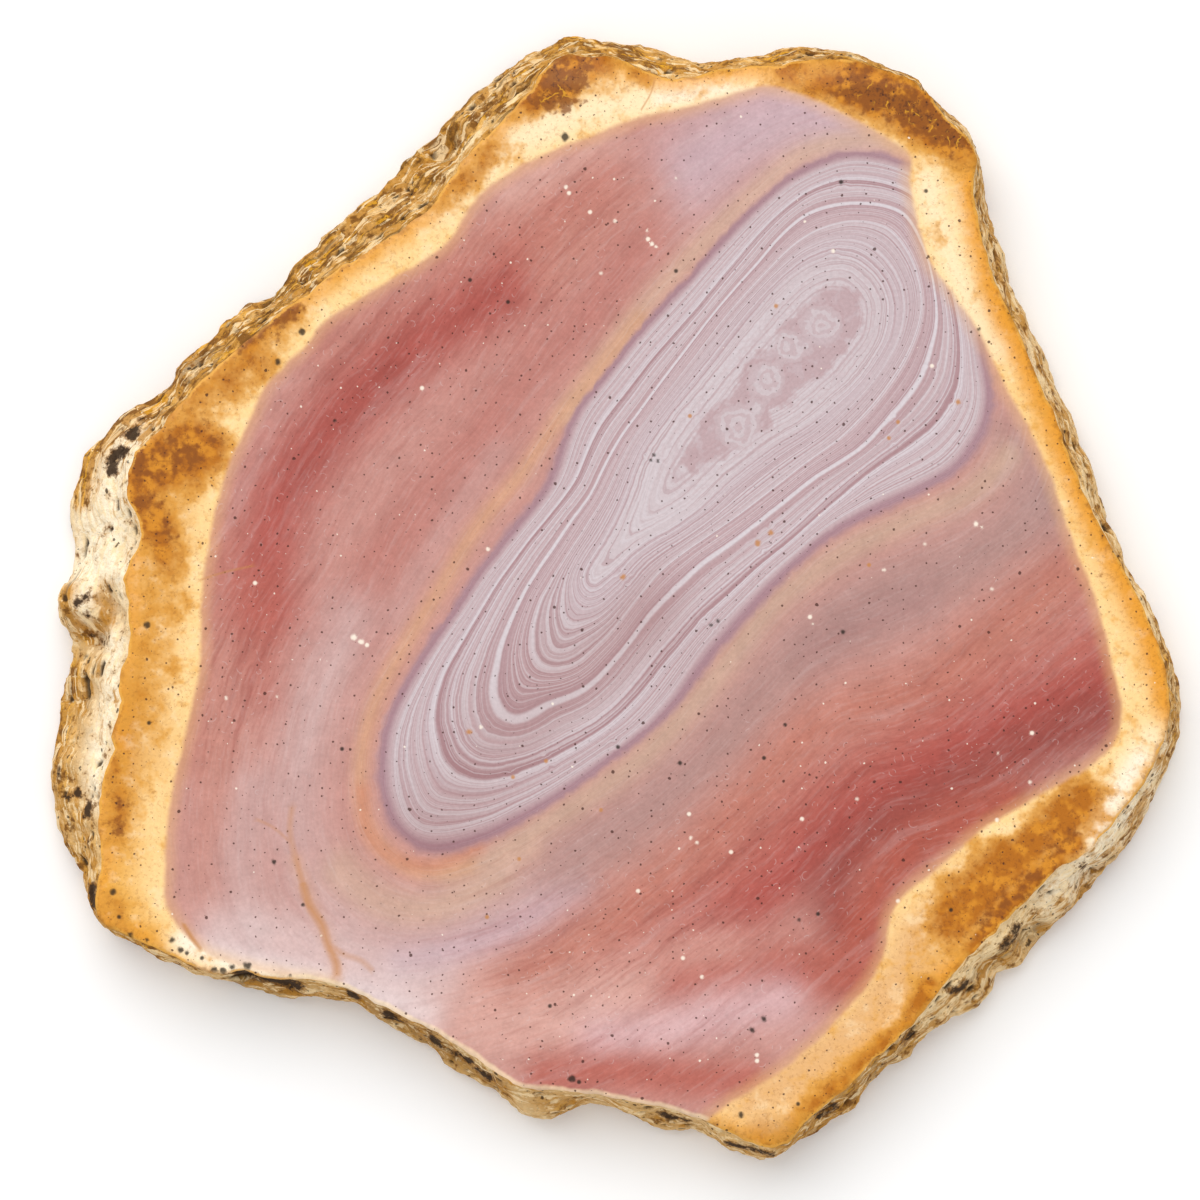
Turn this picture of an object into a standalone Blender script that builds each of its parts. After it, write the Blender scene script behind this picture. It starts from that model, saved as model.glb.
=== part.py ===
"""Polychrome jasper slice: one slab of stone with a flat polished face, a flat sawn back and a rough rind.

The slab is a loft between two drawn outlines. The rim is the edge of the polished face, and the brow is
the rind at its widest, lower down. Rings of points join the two and run on under the brow to the sawn
back. Ledges, smooth noise and the named lumps and hollows below roughen the rings, and two flat faces
close the slab. X runs to the right of the face and Y up it, Z is up, and the back lies on Z = 0.
"""

import math

import bmesh
import bpy
import numpy as np
from mathutils import Vector, noise

MM = 0.001

SLICE_THICKNESS = 9.0
STATION_SPACING = 1.24
RING_HEIGHTS = (0.0, 0.08, 0.17, 0.27, 0.35, 0.43, 0.52, 0.61, 0.70, 0.79, 0.88, 0.95, 1.0)

BROW_HEIGHT = 0.27
BROW_SCALE = 1.0105
UNDERCUT = 0.9
RIND_CURVE = 0.88
CURVE_CHANGE = 0.3
CURVE_GRAIN = 9.0

LEDGE_DEPTH = 0.75
LEDGE_COUNT = 2.4
LEDGE_CORNER = (-12.0, 16.0)
LEDGE_FADE = 14.0

COARSE_ROUGHNESS = 0.75
COARSE_GRAIN = 4.5
FINE_ROUGHNESS = 0.38
FINE_GRAIN = 1.9
FINE_OFFSET = Vector((31.0, 7.0, 3.0))
BROW_CALM = 0.7
BROW_CALM_REACH = 0.12
UPWARD_LEAN = 0.8
BACK_FADE = 0.17
RIM_FADE = 0.125
RELIEF_FROM = 0.1
RELIEF_FULL = 0.3

MATCH_SAMPLES = 1500
MATCH_SMOOTHING = 9
DIRECTION_SMOOTHING = 4

JASPER_COLOUR = (0.56, 0.27, 0.24, 1.0)
JASPER_ROUGHNESS = 0.35

# The rim of the polished face in millimetres, clockwise from the left side, seen from above.
RIM = (
    (-49.0, 11.2), (-48.8, 12.9), (-48.5, 13.9), (-48.0, 15.0), (-47.1, 15.8), (-45.9, 16.5),
    (-45.2, 17.7), (-44.6, 18.6), (-43.7, 19.5), (-42.7, 20.5), (-42.0, 21.6), (-41.0, 22.2),
    (-39.8, 23.2), (-38.9, 24.1), (-37.7, 25.3), (-36.5, 26.3), (-35.2, 27.3), (-34.0, 28.4),
    (-32.7, 29.4), (-31.2, 30.2), (-30.0, 31.3), (-28.7, 32.4), (-27.5, 33.4), (-26.1, 33.9),
    (-24.7, 34.9), (-23.2, 35.9), (-21.7, 36.8), (-20.5, 37.8), (-19.2, 38.7), (-18.2, 39.5),
    (-17.8, 40.5), (-16.9, 41.7), (-16.0, 42.9), (-15.0, 44.3), (-13.7, 45.6), (-12.4, 46.7),
    (-11.3, 48.1), (-9.9, 49.5), (-8.7, 50.8), (-8.0, 52.0), (-7.1, 53.0), (-6.1, 54.0),
    (-4.7, 54.4), (-3.1, 54.2), (-1.5, 54.3), (-0.1, 54.1), (1.3, 53.6), (2.6, 52.9),
    (3.9, 52.3), (5.3, 52.0), (7.1, 52.1), (8.5, 52.4), (9.9, 52.9), (11.8, 53.0),
    (13.8, 53.3), (16.1, 53.3), (18.1, 53.8), (20.3, 53.9), (22.5, 54.1), (24.5, 53.6),
    (26.7, 52.9), (28.8, 52.2), (30.1, 51.5), (31.3, 50.2), (32.5, 48.7), (33.8, 47.2),
    (35.0, 46.0), (35.8, 44.8), (35.9, 42.7), (35.7, 40.4), (36.1, 37.7), (36.7, 35.3),
    (37.5, 32.7), (38.4, 30.4), (39.5, 28.1), (40.7, 25.6), (41.6, 23.2), (42.7, 20.5),
    (43.9, 18.1), (44.8, 15.3), (45.8, 12.7), (47.0, 9.9), (48.3, 7.3), (49.7, 4.7),
    (51.1, 2.1), (52.4, -0.5), (53.7, -3.5), (54.6, -6.1), (55.1, -8.6), (55.3, -10.9),
    (55.0, -13.2), (54.2, -15.3), (53.3, -17.4), (52.0, -19.4), (50.5, -21.3), (48.9, -23.2),
    (47.4, -25.0), (45.9, -26.1), (44.3, -26.8), (42.9, -28.1), (41.3, -29.7), (39.7, -31.3),
    (37.9, -33.2), (35.9, -35.1), (34.0, -37.0), (32.4, -38.9), (30.8, -41.0), (29.0, -43.1),
    (27.2, -44.7), (25.5, -46.3), (23.6, -48.2), (21.6, -50.0), (19.8, -51.4), (18.4, -52.9),
    (17.2, -54.3), (15.8, -54.9), (14.1, -54.6), (12.3, -53.9), (10.1, -52.8), (7.8, -51.8),
    (5.1, -50.9), (2.0, -50.3), (-1.3, -49.7), (-4.7, -49.2), (-7.7, -49.1), (-10.0, -48.7),
    (-11.7, -47.6), (-13.9, -46.1), (-16.2, -44.5), (-18.9, -42.9), (-21.7, -41.6), (-24.5, -40.2),
    (-26.9, -38.9), (-29.7, -38.1), (-32.3, -37.9), (-34.7, -38.0), (-36.5, -37.5), (-37.7, -37.0),
    (-38.9, -37.6), (-41.0, -37.3), (-43.3, -36.3), (-45.4, -35.2), (-47.4, -34.4), (-49.5, -33.4),
    (-51.2, -32.6), (-52.1, -31.3), (-52.2, -29.7), (-51.8, -27.9), (-51.6, -25.9), (-51.8, -23.3),
    (-51.8, -20.9), (-51.4, -18.6), (-50.9, -16.5), (-50.2, -15.0), (-50.6, -13.9), (-50.2, -12.2),
    (-49.6, -10.4), (-49.9, -9.1), (-49.7, -7.3), (-48.9, -5.5), (-48.7, -3.3), (-48.7, -1.3),
    (-49.1, 0.6), (-49.3, 2.0), (-48.7, 3.7), (-47.8, 5.3), (-47.6, 6.8), (-48.1, 8.5),
    (-48.8, 9.8),
)

# The brow in millimetres, from the same side, drawn as it looks from above beside the nearer rim.
BROW = (
    (-54.6, 10.2), (-54.3, 11.4), (-53.7, 12.2), (-53.2, 13.6), (-52.7, 14.8), (-51.7, 15.8),
    (-50.4, 16.5), (-49.5, 17.8), (-48.4, 18.8), (-47.2, 19.5), (-45.9, 20.0), (-44.6, 21.1),
    (-43.9, 22.2), (-43.3, 23.4), (-42.1, 24.5), (-40.6, 25.7), (-39.3, 27.2), (-37.7, 28.6),
    (-36.2, 29.4), (-34.8, 29.8), (-33.6, 31.0), (-32.9, 32.2), (-31.5, 33.6), (-29.7, 35.1),
    (-28.7, 36.6), (-27.1, 37.8), (-25.9, 39.1), (-24.0, 40.1), (-22.9, 41.4), (-21.7, 42.6),
    (-20.9, 43.3), (-19.9, 44.8), (-17.9, 46.2), (-16.8, 48.0), (-15.4, 49.3), (-13.7, 50.5),
    (-11.7, 52.1), (-9.5, 53.7), (-7.4, 54.6), (-5.7, 55.7), (-4.0, 56.0), (-2.0, 55.6),
    (0.0, 55.5), (2.3, 55.3), (4.5, 54.8), (6.5, 54.2), (8.1, 53.6), (10.3, 53.4),
    (12.0, 54.1), (14.5, 54.5), (17.1, 55.0), (20.1, 54.9), (22.8, 54.5), (25.1, 53.9),
    (27.5, 52.8), (29.7, 52.0), (31.0, 50.7), (32.5, 49.0), (34.0, 47.5), (35.3, 46.0),
    (36.1, 44.0), (36.5, 41.7), (37.1, 38.6), (37.8, 36.1), (38.7, 33.4), (39.1, 31.0),
    (40.5, 28.4), (41.6, 26.2), (42.8, 24.2), (43.8, 21.6), (45.0, 19.4), (46.0, 16.5),
    (47.2, 13.7), (48.1, 10.2), (49.1, 7.1), (50.3, 5.1), (51.6, 2.2), (52.7, -0.1),
    (54.2, -3.2), (55.0, -5.6), (56.1, -8.1), (56.5, -10.6), (56.3, -13.3), (55.7, -15.8),
    (54.4, -18.4), (53.2, -21.1), (51.9, -23.4), (50.3, -25.7), (48.4, -27.4), (46.9, -29.5),
    (45.1, -30.8), (43.6, -32.6), (42.0, -34.5), (40.5, -36.3), (39.0, -37.1), (37.6, -37.5),
    (37.2, -38.8), (36.2, -40.3), (34.3, -41.3), (32.1, -42.7), (30.1, -44.4), (28.7, -46.0),
    (26.7, -47.2), (25.5, -48.4), (24.3, -49.7), (23.4, -51.0), (21.6, -51.9), (20.2, -53.4),
    (18.3, -54.2), (17.0, -55.1), (15.3, -56.0), (13.3, -55.8), (10.9, -54.8), (8.5, -53.3),
    (6.3, -53.3), (3.8, -52.7), (1.6, -51.6), (-0.9, -50.6), (-3.3, -50.4), (-5.3, -51.1),
    (-7.4, -51.6), (-9.7, -51.2), (-11.7, -49.5), (-13.7, -48.6), (-16.2, -47.0), (-19.2, -44.5),
    (-21.7, -43.5), (-23.7, -42.2), (-25.7, -40.4), (-28.2, -40.0), (-31.2, -39.8), (-33.9, -39.9),
    (-36.2, -39.0), (-38.7, -38.1), (-41.4, -37.5), (-43.9, -36.5), (-45.7, -36.0), (-47.1, -34.8),
    (-49.9, -33.8), (-51.6, -32.6), (-52.4, -30.9), (-53.1, -29.1), (-53.7, -26.9), (-54.8, -25.4),
    (-55.7, -23.4), (-56.2, -21.1), (-56.5, -18.6), (-56.4, -16.3), (-56.0, -14.3), (-55.8, -11.7),
    (-55.3, -9.5), (-54.9, -7.1), (-54.6, -5.1), (-54.8, -3.7), (-55.6, -2.1), (-55.9, -0.6),
    (-55.6, 0.9), (-54.3, 2.4), (-54.3, 4.2), (-54.3, 6.4), (-54.6, 8.4),
)

# Lumps stand out of the rind and hollows go into it: x, y, z, radius and how far, in millimetres.
RELIEF = {
    "left knob": (-53.6, -0.5, 4.2, 3.6, 2.4),
    "groove inside the knob": (-50.5, -1.2, 7.4, 3.0, -1.5),
    "cavity under the knob": (-52.7, -4.0, 5.0, 2.6, -2.2),
    "left shoulder": (-52.0, 8.0, 4.5, 4.2, 0.8),
    "left lower hollow": (-53.8, -10.3, 4.5, 3.0, -0.9),
    "left lower swelling": (-54.6, -17.6, 3.5, 4.0, 0.6),
    "upper left shelf": (-49.5, 16.0, 4.0, 3.4, 0.9),
    "upper left notch": (-17.1, 45.0, 4.5, 3.4, -1.6),
    "top shoulder": (-4.0, 55.0, 4.0, 3.4, 0.3),
    "bottom left scar": (-35.2, -38.7, 6.0, 4.2, -0.9),
    "bottom long hollow": (-21.6, -43.0, 5.0, 3.0, -1.0),
    "bottom short hollow": (-15.3, -46.2, 5.0, 2.6, -1.0),
    "bottom bulge": (-7.4, -50.5, 4.0, 4.0, 0.8),
    "bottom right hollow": (6.8, -52.6, 4.5, 2.8, -0.8),
    "lower right step": (36.7, -39.4, 3.5, 3.2, 0.8),
    "lower right pit": (41.3, -34.2, 4.5, 3.0, -1.5),
    "lower right rim pit": (39.6, -32.0, 8.0, 2.4, -0.9),
    "lower right ridge": (43.8, -30.5, 4.0, 3.4, 1.0),
    "right lower pit": (46.8, -27.4, 5.0, 2.6, -1.2),
}


def clear_scene():
    """Empties the scene of whatever it starts with."""
    for old in list(bpy.data.objects):
        bpy.data.objects.remove(old, do_unlink=True)


class Outline:
    """A closed smooth line through drawn points, read by the share of its length gone round."""

    def __init__(self, points, scale=1.0):
        self.points = np.array(points, float) * scale
        following = np.roll(self.points, -1, axis=0)
        steps = np.linalg.norm(following - self.points, axis=1)
        self.reached = np.concatenate([[0.0], np.cumsum(steps)])
        self.length = float(self.reached[-1])

    def at(self, shares):
        """The points at these shares of the length, on a Catmull-Rom curve."""
        distance = np.mod(shares, 1.0) * self.length
        index = np.searchsorted(self.reached, distance, side="right") - 1
        index = np.clip(index, 0, len(self.points) - 1)
        t = ((distance - self.reached[index]) / np.diff(self.reached)[index])[:, None]
        before, start, end, after = (
            self.points[(index + shift) % len(self.points)] for shift in (-1, 0, 1, 2)
        )
        return 0.5 * (
            2 * start
            + (end - before) * t
            + (2 * before - 5 * start + 4 * end - after) * t**2
            + (3 * start - before - 3 * end + after) * t**3
        )


def blur_round(values, reach):
    """A closed row of values, each one averaged with its neighbours up to reach away."""
    shifts = range(-reach, reach + 1)
    return sum(np.roll(values, shift, axis=0) for shift in shifts) / len(shifts)


def matched_stations():
    """For each station round the slab, its point on the rim and the one across from it on the brow."""
    rim, brow = Outline(RIM), Outline(BROW, BROW_SCALE)
    count = round(rim.length / STATION_SPACING)
    shares = np.arange(count) / count
    rim_points = rim.at(shares)
    candidates = np.arange(MATCH_SAMPLES) / MATCH_SAMPLES
    gaps = rim_points[:, None, :] - brow.at(candidates)[None, :, :]
    nearest = candidates[np.argmin((gaps**2).sum(axis=2), axis=1)]
    lead = np.mod(nearest - shares + 0.5, 1.0) - 0.5
    return rim_points, brow.at(shares + blur_round(lead, MATCH_SMOOTHING))


def spread_at(height, curve):
    """How far out the rind is at a height, from 0 at the rim to 1 at the brow, heights being 0 to 1."""
    if height >= BROW_HEIGHT:
        return ((1.0 - height) / (1.0 - BROW_HEIGHT)) ** curve
    return 1.0


def ledged(spread, depth):
    """The spread with steps in it, like the edges of layers that broke one behind the other."""
    turns = 2 * math.pi * LEDGE_COUNT
    return spread + depth * math.sin(turns * spread) / turns


def ledge_depth_at(x, y):
    """How marked the ledges are at a place: full on the upper left side, and gone past the corner."""
    inside = min(LEDGE_CORNER[0] + LEDGE_FADE - x, y - LEDGE_CORNER[1] + LEDGE_FADE)
    return LEDGE_DEPTH * min(max(inside / LEDGE_FADE, 0.0), 1.0)


def roughness_at(point):
    """How far smooth noise moves the rind at a point, in millimetres."""
    coarse = noise.noise(point / COARSE_GRAIN) * COARSE_ROUGHNESS
    fine = noise.noise(point / FINE_GRAIN + FINE_OFFSET) * FINE_ROUGHNESS
    return coarse + fine


def relief_at(point):
    """How far the named lumps and hollows move the rind at a point, in millimetres."""
    moved = 0.0
    for x, y, z, radius, far in RELIEF.values():
        away = (point - Vector((x, y, z))).length / radius
        if away < 1.0:
            moved += far * (1.0 - away * away) ** 1.5
    return moved


def rind_point(rim, brow, outward, height):
    """One point of the rind in millimetres, at a height from 0 at the back to 1 at the rim."""
    bend = noise.noise(Vector((rim[0], rim[1], 0.0)) / CURVE_GRAIN)
    spread = spread_at(height, RIND_CURVE + CURVE_CHANGE * bend)
    x, y = rim + (brow - rim) * ledged(spread, ledge_depth_at(rim[0], rim[1]))
    point = Vector((x, y, height * SLICE_THICKNESS))
    if height < BROW_HEIGHT:
        point -= outward * UNDERCUT * (1.0 - height / BROW_HEIGHT) ** 2
    if 0.0 < height < 1.0:
        lean = UPWARD_LEAN if height > BROW_HEIGHT else 0.0
        facing = (outward + Vector((0.0, 0.0, lean))).normalized()
        calm = 1.0 - BROW_CALM * math.exp(-(((height - BROW_HEIGHT) / BROW_CALM_REACH) ** 2))
        relief_share = min(1.0, max(0.0, height - RELIEF_FROM) / (RELIEF_FULL - RELIEF_FROM))
        moved = roughness_at(point) * calm + relief_at(point) * relief_share
        point += facing * moved * min(1.0, height / BACK_FADE, (1.0 - height) / RIM_FADE)
    return point


def outward_directions(rim_points):
    """The level direction that faces out of the slab at each station."""
    smooth = blur_round(rim_points, DIRECTION_SMOOTHING)
    along = np.roll(smooth, -1, axis=0) - np.roll(smooth, 1, axis=0)
    return [Vector((-dy, dx, 0.0)).normalized() for dx, dy in along]


def build_slab_mesh():
    """The closed slab: a ring of edges extruded from the back up to the rim, with both ends filled."""
    rim_points, brow_points = matched_stations()
    outward = outward_directions(rim_points)
    rings = [
        [rind_point(*station, height) for station in zip(rim_points, brow_points, outward)]
        for height in RING_HEIGHTS
    ]
    bm = bmesh.new()
    bmesh.ops.create_circle(bm, segments=len(rim_points), radius=1.0, cap_ends=False)
    bm.verts.ensure_lookup_table()
    loop = list(bm.verts)
    edges = list(bm.edges)
    back = edges
    for level, ring in enumerate(rings):
        if level:
            grown = bmesh.ops.extrude_edge_only(bm, edges=edges)["geom"]
            following = {v for v in grown if isinstance(v, bmesh.types.BMVert)}
            loop = [
                next(e.other_vert(v) for e in v.link_edges if e.other_vert(v) in following)
                for v in loop
            ]
            edges = [
                e for e in grown if isinstance(e, bmesh.types.BMEdge) and set(e.verts) <= following
            ]
        for vertex, point in zip(loop, ring):
            vertex.co = point * MM
    for edge in back + edges:
        edge.smooth = False
    bmesh.ops.contextual_create(bm, geom=back)
    bmesh.ops.contextual_create(bm, geom=edges)
    bmesh.ops.triangulate(bm, faces=bm.faces)
    bmesh.ops.recalc_face_normals(bm, faces=bm.faces)
    for face in bm.faces:
        face.smooth = True
    mesh = bpy.data.meshes.new("jasper_slice")
    bm.to_mesh(mesh)
    bm.free()
    return mesh


def make_jasper_material():
    """Polished stone in the mean colour of the face."""
    material = bpy.data.materials.new("jasper")
    material.use_nodes = True
    shader = material.node_tree.nodes["Principled BSDF"]
    shader.inputs["Base Color"].default_value = JASPER_COLOUR
    shader.inputs["Roughness"].default_value = JASPER_ROUGHNESS
    shader.inputs["Metallic"].default_value = 0.0
    return material


def main():
    clear_scene()
    slab = bpy.data.objects.new("jasper_slice", build_slab_mesh())
    slab.data.materials.append(make_jasper_material())
    collection = bpy.data.collections.new("polychrome_jasper_slice")
    bpy.context.scene.collection.children.link(collection)
    collection.objects.link(slab)


main()
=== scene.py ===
"""Looks of a polychrome jasper slice: a polished face with a banded eye, a rough rind and a sawn back.

The slab is one piece of stone. Its solid from the frame is copied and refined, its rind is roughened,
and every vertex gets the values that the stone's finishes read: which growth ring it lies in, how far
it is from the cream band and from the rim, and how red, rusty or pitted the stone is there. Places on
the face are in millimetres, with X to the right of the face and Y up it.
"""

import logging
import math
from collections.abc import Iterable, Sequence
from dataclasses import dataclass, field
from enum import Enum, IntEnum

import bmesh
import bpy
import numpy as np
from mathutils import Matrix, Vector, geometry, kdtree, noise

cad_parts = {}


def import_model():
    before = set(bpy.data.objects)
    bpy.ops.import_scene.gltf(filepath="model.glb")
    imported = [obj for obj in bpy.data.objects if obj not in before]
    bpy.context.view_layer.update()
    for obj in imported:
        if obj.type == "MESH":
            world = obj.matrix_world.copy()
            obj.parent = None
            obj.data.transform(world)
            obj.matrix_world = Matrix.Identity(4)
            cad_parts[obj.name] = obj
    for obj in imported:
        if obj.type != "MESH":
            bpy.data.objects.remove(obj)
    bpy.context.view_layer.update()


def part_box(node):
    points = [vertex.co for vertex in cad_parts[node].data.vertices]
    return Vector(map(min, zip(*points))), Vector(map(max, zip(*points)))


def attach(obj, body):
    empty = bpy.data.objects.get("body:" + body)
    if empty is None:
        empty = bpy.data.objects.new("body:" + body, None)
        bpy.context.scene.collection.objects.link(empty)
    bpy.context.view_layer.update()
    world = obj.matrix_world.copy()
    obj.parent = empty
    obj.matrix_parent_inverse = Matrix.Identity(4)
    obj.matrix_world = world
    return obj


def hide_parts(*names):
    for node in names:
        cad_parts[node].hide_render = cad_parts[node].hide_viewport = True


MM = 0.001
NODE = "jasper_slice"

Point = tuple[float, float]
Points = tuple[Point, ...]
# Places in tenths of a millimetre, x and y in turn.
Tenths = tuple[int, ...]
# A round spot: x, y and the radius in millimetres.
Spot = tuple[float, float, float]
Socket = bpy.types.NodeSocket
Node = bpy.types.ShaderNode
Group = bpy.types.ShaderNodeTree

log = logging.getLogger("jasper_slice")


class Tone(Enum):
    """The stone's colours, and the painted shade of the rind's pits and hollows, as red, green and blue
    from 0 to 255.
    """

    CORE_WHITE = (201, 186, 189)
    LINE_WHITE = (211, 201, 205)
    CORE_EDGE = (195, 176, 180)
    PALE_MAUVE = (192, 170, 173)
    MAUVE = (183, 153, 156)
    DEEP_MAUVE = (177, 145, 149)
    LINE_MAUVE = (169, 133, 137)
    PINK_MAUVE = (190, 163, 166)
    LILAC_WHITE = (200, 185, 188)
    PURPLE = (164, 126, 134)
    HALO_ORANGE = (206, 155, 121)
    HALO_TAN = (195, 161, 140)
    ROSE_LILAC = (184, 119, 109)
    BRICK = (172, 84, 68)
    EYE_SHADE = (240, 230, 228)
    HALO_RED = (200, 132, 104)
    AMBER = (228, 152, 40)
    HALO_PALE = (204, 168, 146)
    DUSTY_ROSE = (195, 142, 132)
    ROSE = (193, 131, 117)
    RED = (172, 79, 70)
    SOFT_RED = (180, 99, 86)
    DEEP_RED = (142, 58, 50)
    SALMON = (187, 118, 101)
    LILAC = (196, 159, 154)
    GREY_LILAC = (173, 135, 129)
    DUSK = (164, 124, 120)
    COOL_LILAC = (195, 166, 173)
    WHITE_LILAC = (221, 200, 198)
    PINK_GLOW = (215, 176, 177)
    CREAM = (252, 211, 146)
    PALE_CREAM = (255, 229, 186)
    WHITE_CREAM = (255, 240, 216)
    GOLD = (231, 169, 71)
    DEEP_GOLD = (192, 117, 6)
    HONEY = (216, 150, 55)
    TAN_CREAM = (227, 175, 117)
    OCHRE = (175, 100, 2)
    BROWN = (135, 73, 13)
    DARK_BROWN = (81, 40, 15)
    PINHOLE = (66, 26, 14)
    BLACK_SPOT = (34, 25, 15)
    PALE_ROSE = (211, 162, 150)
    RUST_GOLD = (229, 164, 34)
    ORANGE_STAIN = (191, 129, 69)
    FLECK = (252, 240, 222)
    CHALK = (252, 236, 206)
    WARM_CHALK = (246, 218, 170)
    RIND_TAN = (204, 158, 94)
    RIND_BEIGE = (224, 190, 138)
    RIND_OCHRE = (187, 129, 42)
    RIND_BROWN = (123, 79, 32)
    RIND_GREY = (152, 133, 108)
    # PIT_BLACK and PIT_BROWN are also the painted shade in the rind's pits and hollows.
    PIT_BLACK = (54, 39, 27)
    PIT_BROWN = (82, 54, 25)
    SAW_DUST = (226, 214, 206)

    @property
    def linear(self) -> tuple[float, float, float, float]:
        """The colour as the renderer wants it, with an alpha of one."""
        shares = (part / 255 for part in self.value)
        return (*((s / 12.92 if s <= 0.04045 else ((s + 0.055) / 1.055) ** 2.4) for s in shares), 1.0)


def eased(values: np.ndarray, low: float, high: float) -> np.ndarray:
    """Values as a smooth step that is 0 at low and 1 at high."""
    share = np.clip((values - low) / (high - low), 0.0, 1.0)
    return share * share * (3.0 - 2.0 * share)


def drawn(tenths: Tenths) -> Points:
    """Points in millimetres, from x and y in turn in tenths of a millimetre."""
    return tuple((x / 10, y / 10) for x, y in zip(tenths[::2], tenths[1::2]))


@dataclass(frozen=True)
class Line:
    """A smooth line drawn on the face through points in millimetres.

    Attributes:
        points: The points it goes through, in order.
        closed: Whether it comes back to its first point.
        steps: How many short straight runs stand for the line between two points.
    """

    points: Points
    closed: bool = False
    steps: int = 4

    @classmethod
    def along(cls, rim: np.ndarray) -> "Line":
        """A closed line of straight runs through a rim's places."""
        return cls(tuple(map(tuple, rim)), closed=True, steps=1)

    def path(self) -> np.ndarray:
        """Works out the line's short runs.

        Returns:
            The runs' ends, one row each, with the first repeated at the end of a closed line.
        """
        points = np.array(self.points, float)
        ends = (points[-1], points[:2]) if self.closed else (points[0], points[-1])
        padded = np.vstack([ends[0], points, ends[1]])
        before, start, end, after = (padded[i : len(padded) - 3 + i] for i in range(4))
        t = (np.arange(self.steps) / self.steps)[None, :, None]
        before, start, end, after = (part[:, None, :] for part in (before, start, end, after))
        curve = 0.5 * (
            2 * start
            + (end - before) * t
            + (2 * before - 5 * start + 4 * end - after) * t**2
            + (3 * start - before - 3 * end + after) * t**3
        )
        last = points[:1] if self.closed else points[-1:]
        return np.vstack([curve.reshape(-1, 2), last])

    def distance(self, places: np.ndarray, far: float = math.inf) -> np.ndarray:
        """Measures how far places are from the line.

        Args:
            places: The places, one row each.
            far: The distance from which on it doesn't matter how far a place is.

        Returns:
            The distances in millimetres, or infinity for some of the far places.
        """
        path = self.path()
        low, high = path.min(axis=0) - far, path.max(axis=0) + far
        asked = np.flatnonzero(np.all((places >= low) & (places <= high), axis=1))
        x, y = places[asked, 0], places[asked, 1]
        best = np.full(len(asked), np.inf)
        for (start_x, start_y), (end_x, end_y) in zip(path[:-1], path[1:]):
            along_x, along_y = end_x - start_x, end_y - start_y
            from_x, from_y = x - start_x, y - start_y
            share = (from_x * along_x + from_y * along_y) / max(along_x**2 + along_y**2, 1e-9)
            share = np.clip(share, 0.0, 1.0)
            best = np.minimum(best, (from_x - share * along_x) ** 2 + (from_y - share * along_y) ** 2)
        distances = np.full(len(places), np.inf)
        distances[asked] = np.sqrt(best)
        return distances

    def inside(self, places: np.ndarray) -> np.ndarray:
        """Finds the places inside a closed line.

        Args:
            places: The places, one row each.

        Returns:
            Whether each place lies inside.
        """
        path = self.path()
        found = np.zeros(len(places), bool)
        x, y = places[:, 0], places[:, 1]
        for (start_x, start_y), (end_x, end_y) in zip(path[:-1], path[1:]):
            if start_y != end_y:
                level = (start_y > y) != (end_y > y)
                found ^= level & (x < start_x + (end_x - start_x) * (y - start_y) / (end_y - start_y))
        return found

    def gap(self, places: np.ndarray, far: float = math.inf) -> np.ndarray:
        """Measures how far places are outside a closed line.

        Args:
            places: The places, one row each.
            far: The distance from which on it doesn't matter how far a place is.

        Returns:
            The distances in millimetres, below zero for places inside the line.
        """
        return np.where(self.inside(places), -1.0, 1.0) * self.distance(places, far)


@dataclass(frozen=True)
class Wash:
    """A soft stroke of colour, or of some other strength, along a line.

    Attributes:
        tone: The colour, or None where the stroke only gives a strength.
        course: The places that the stroke goes through.
        reach: The distance in millimetres over which it fades.
        strength: How much of it shows in its middle.
    """

    tone: Tone | None
    course: Tenths
    reach: float
    strength: float = 0.9

    # How many reaches away nothing of it is left.
    FADED = 2.8

    def share(self, places: np.ndarray) -> np.ndarray:
        """Works out how much of the stroke shows at places.

        Args:
            places: The places, one row each.

        Returns:
            The shares, from 0 to the stroke's strength.
        """
        distance = Line(drawn(self.course)).distance(places, self.FADED * self.reach)
        return self.strength * np.exp(-((distance / self.reach) ** 2))


def washed(places: np.ndarray, ground: Tone, washes: Iterable[Wash]) -> np.ndarray:
    """Lays washes over a ground colour, one after the other.

    Args:
        places: The places, one row each.
        ground: The colour under the washes.
        washes: The washes in the order in which they are laid.

    Returns:
        The colours, one row of red, green, blue and alpha each.
    """
    colours = np.tile(np.array(ground.linear), (len(places), 1))
    for wash in washes:
        share = wash.share(places)[:, None]
        colours = colours * (1.0 - share) + np.array(wash.tone.linear) * share
    return colours


@dataclass(frozen=True)
class Thread:
    """A thin crack in the face.

    Attributes:
        course: The places that it goes through.
        width: Half its width in millimetres.
        strength: How strongly it shows.
    """

    course: Tenths
    width: float
    strength: float = 1.0


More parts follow.
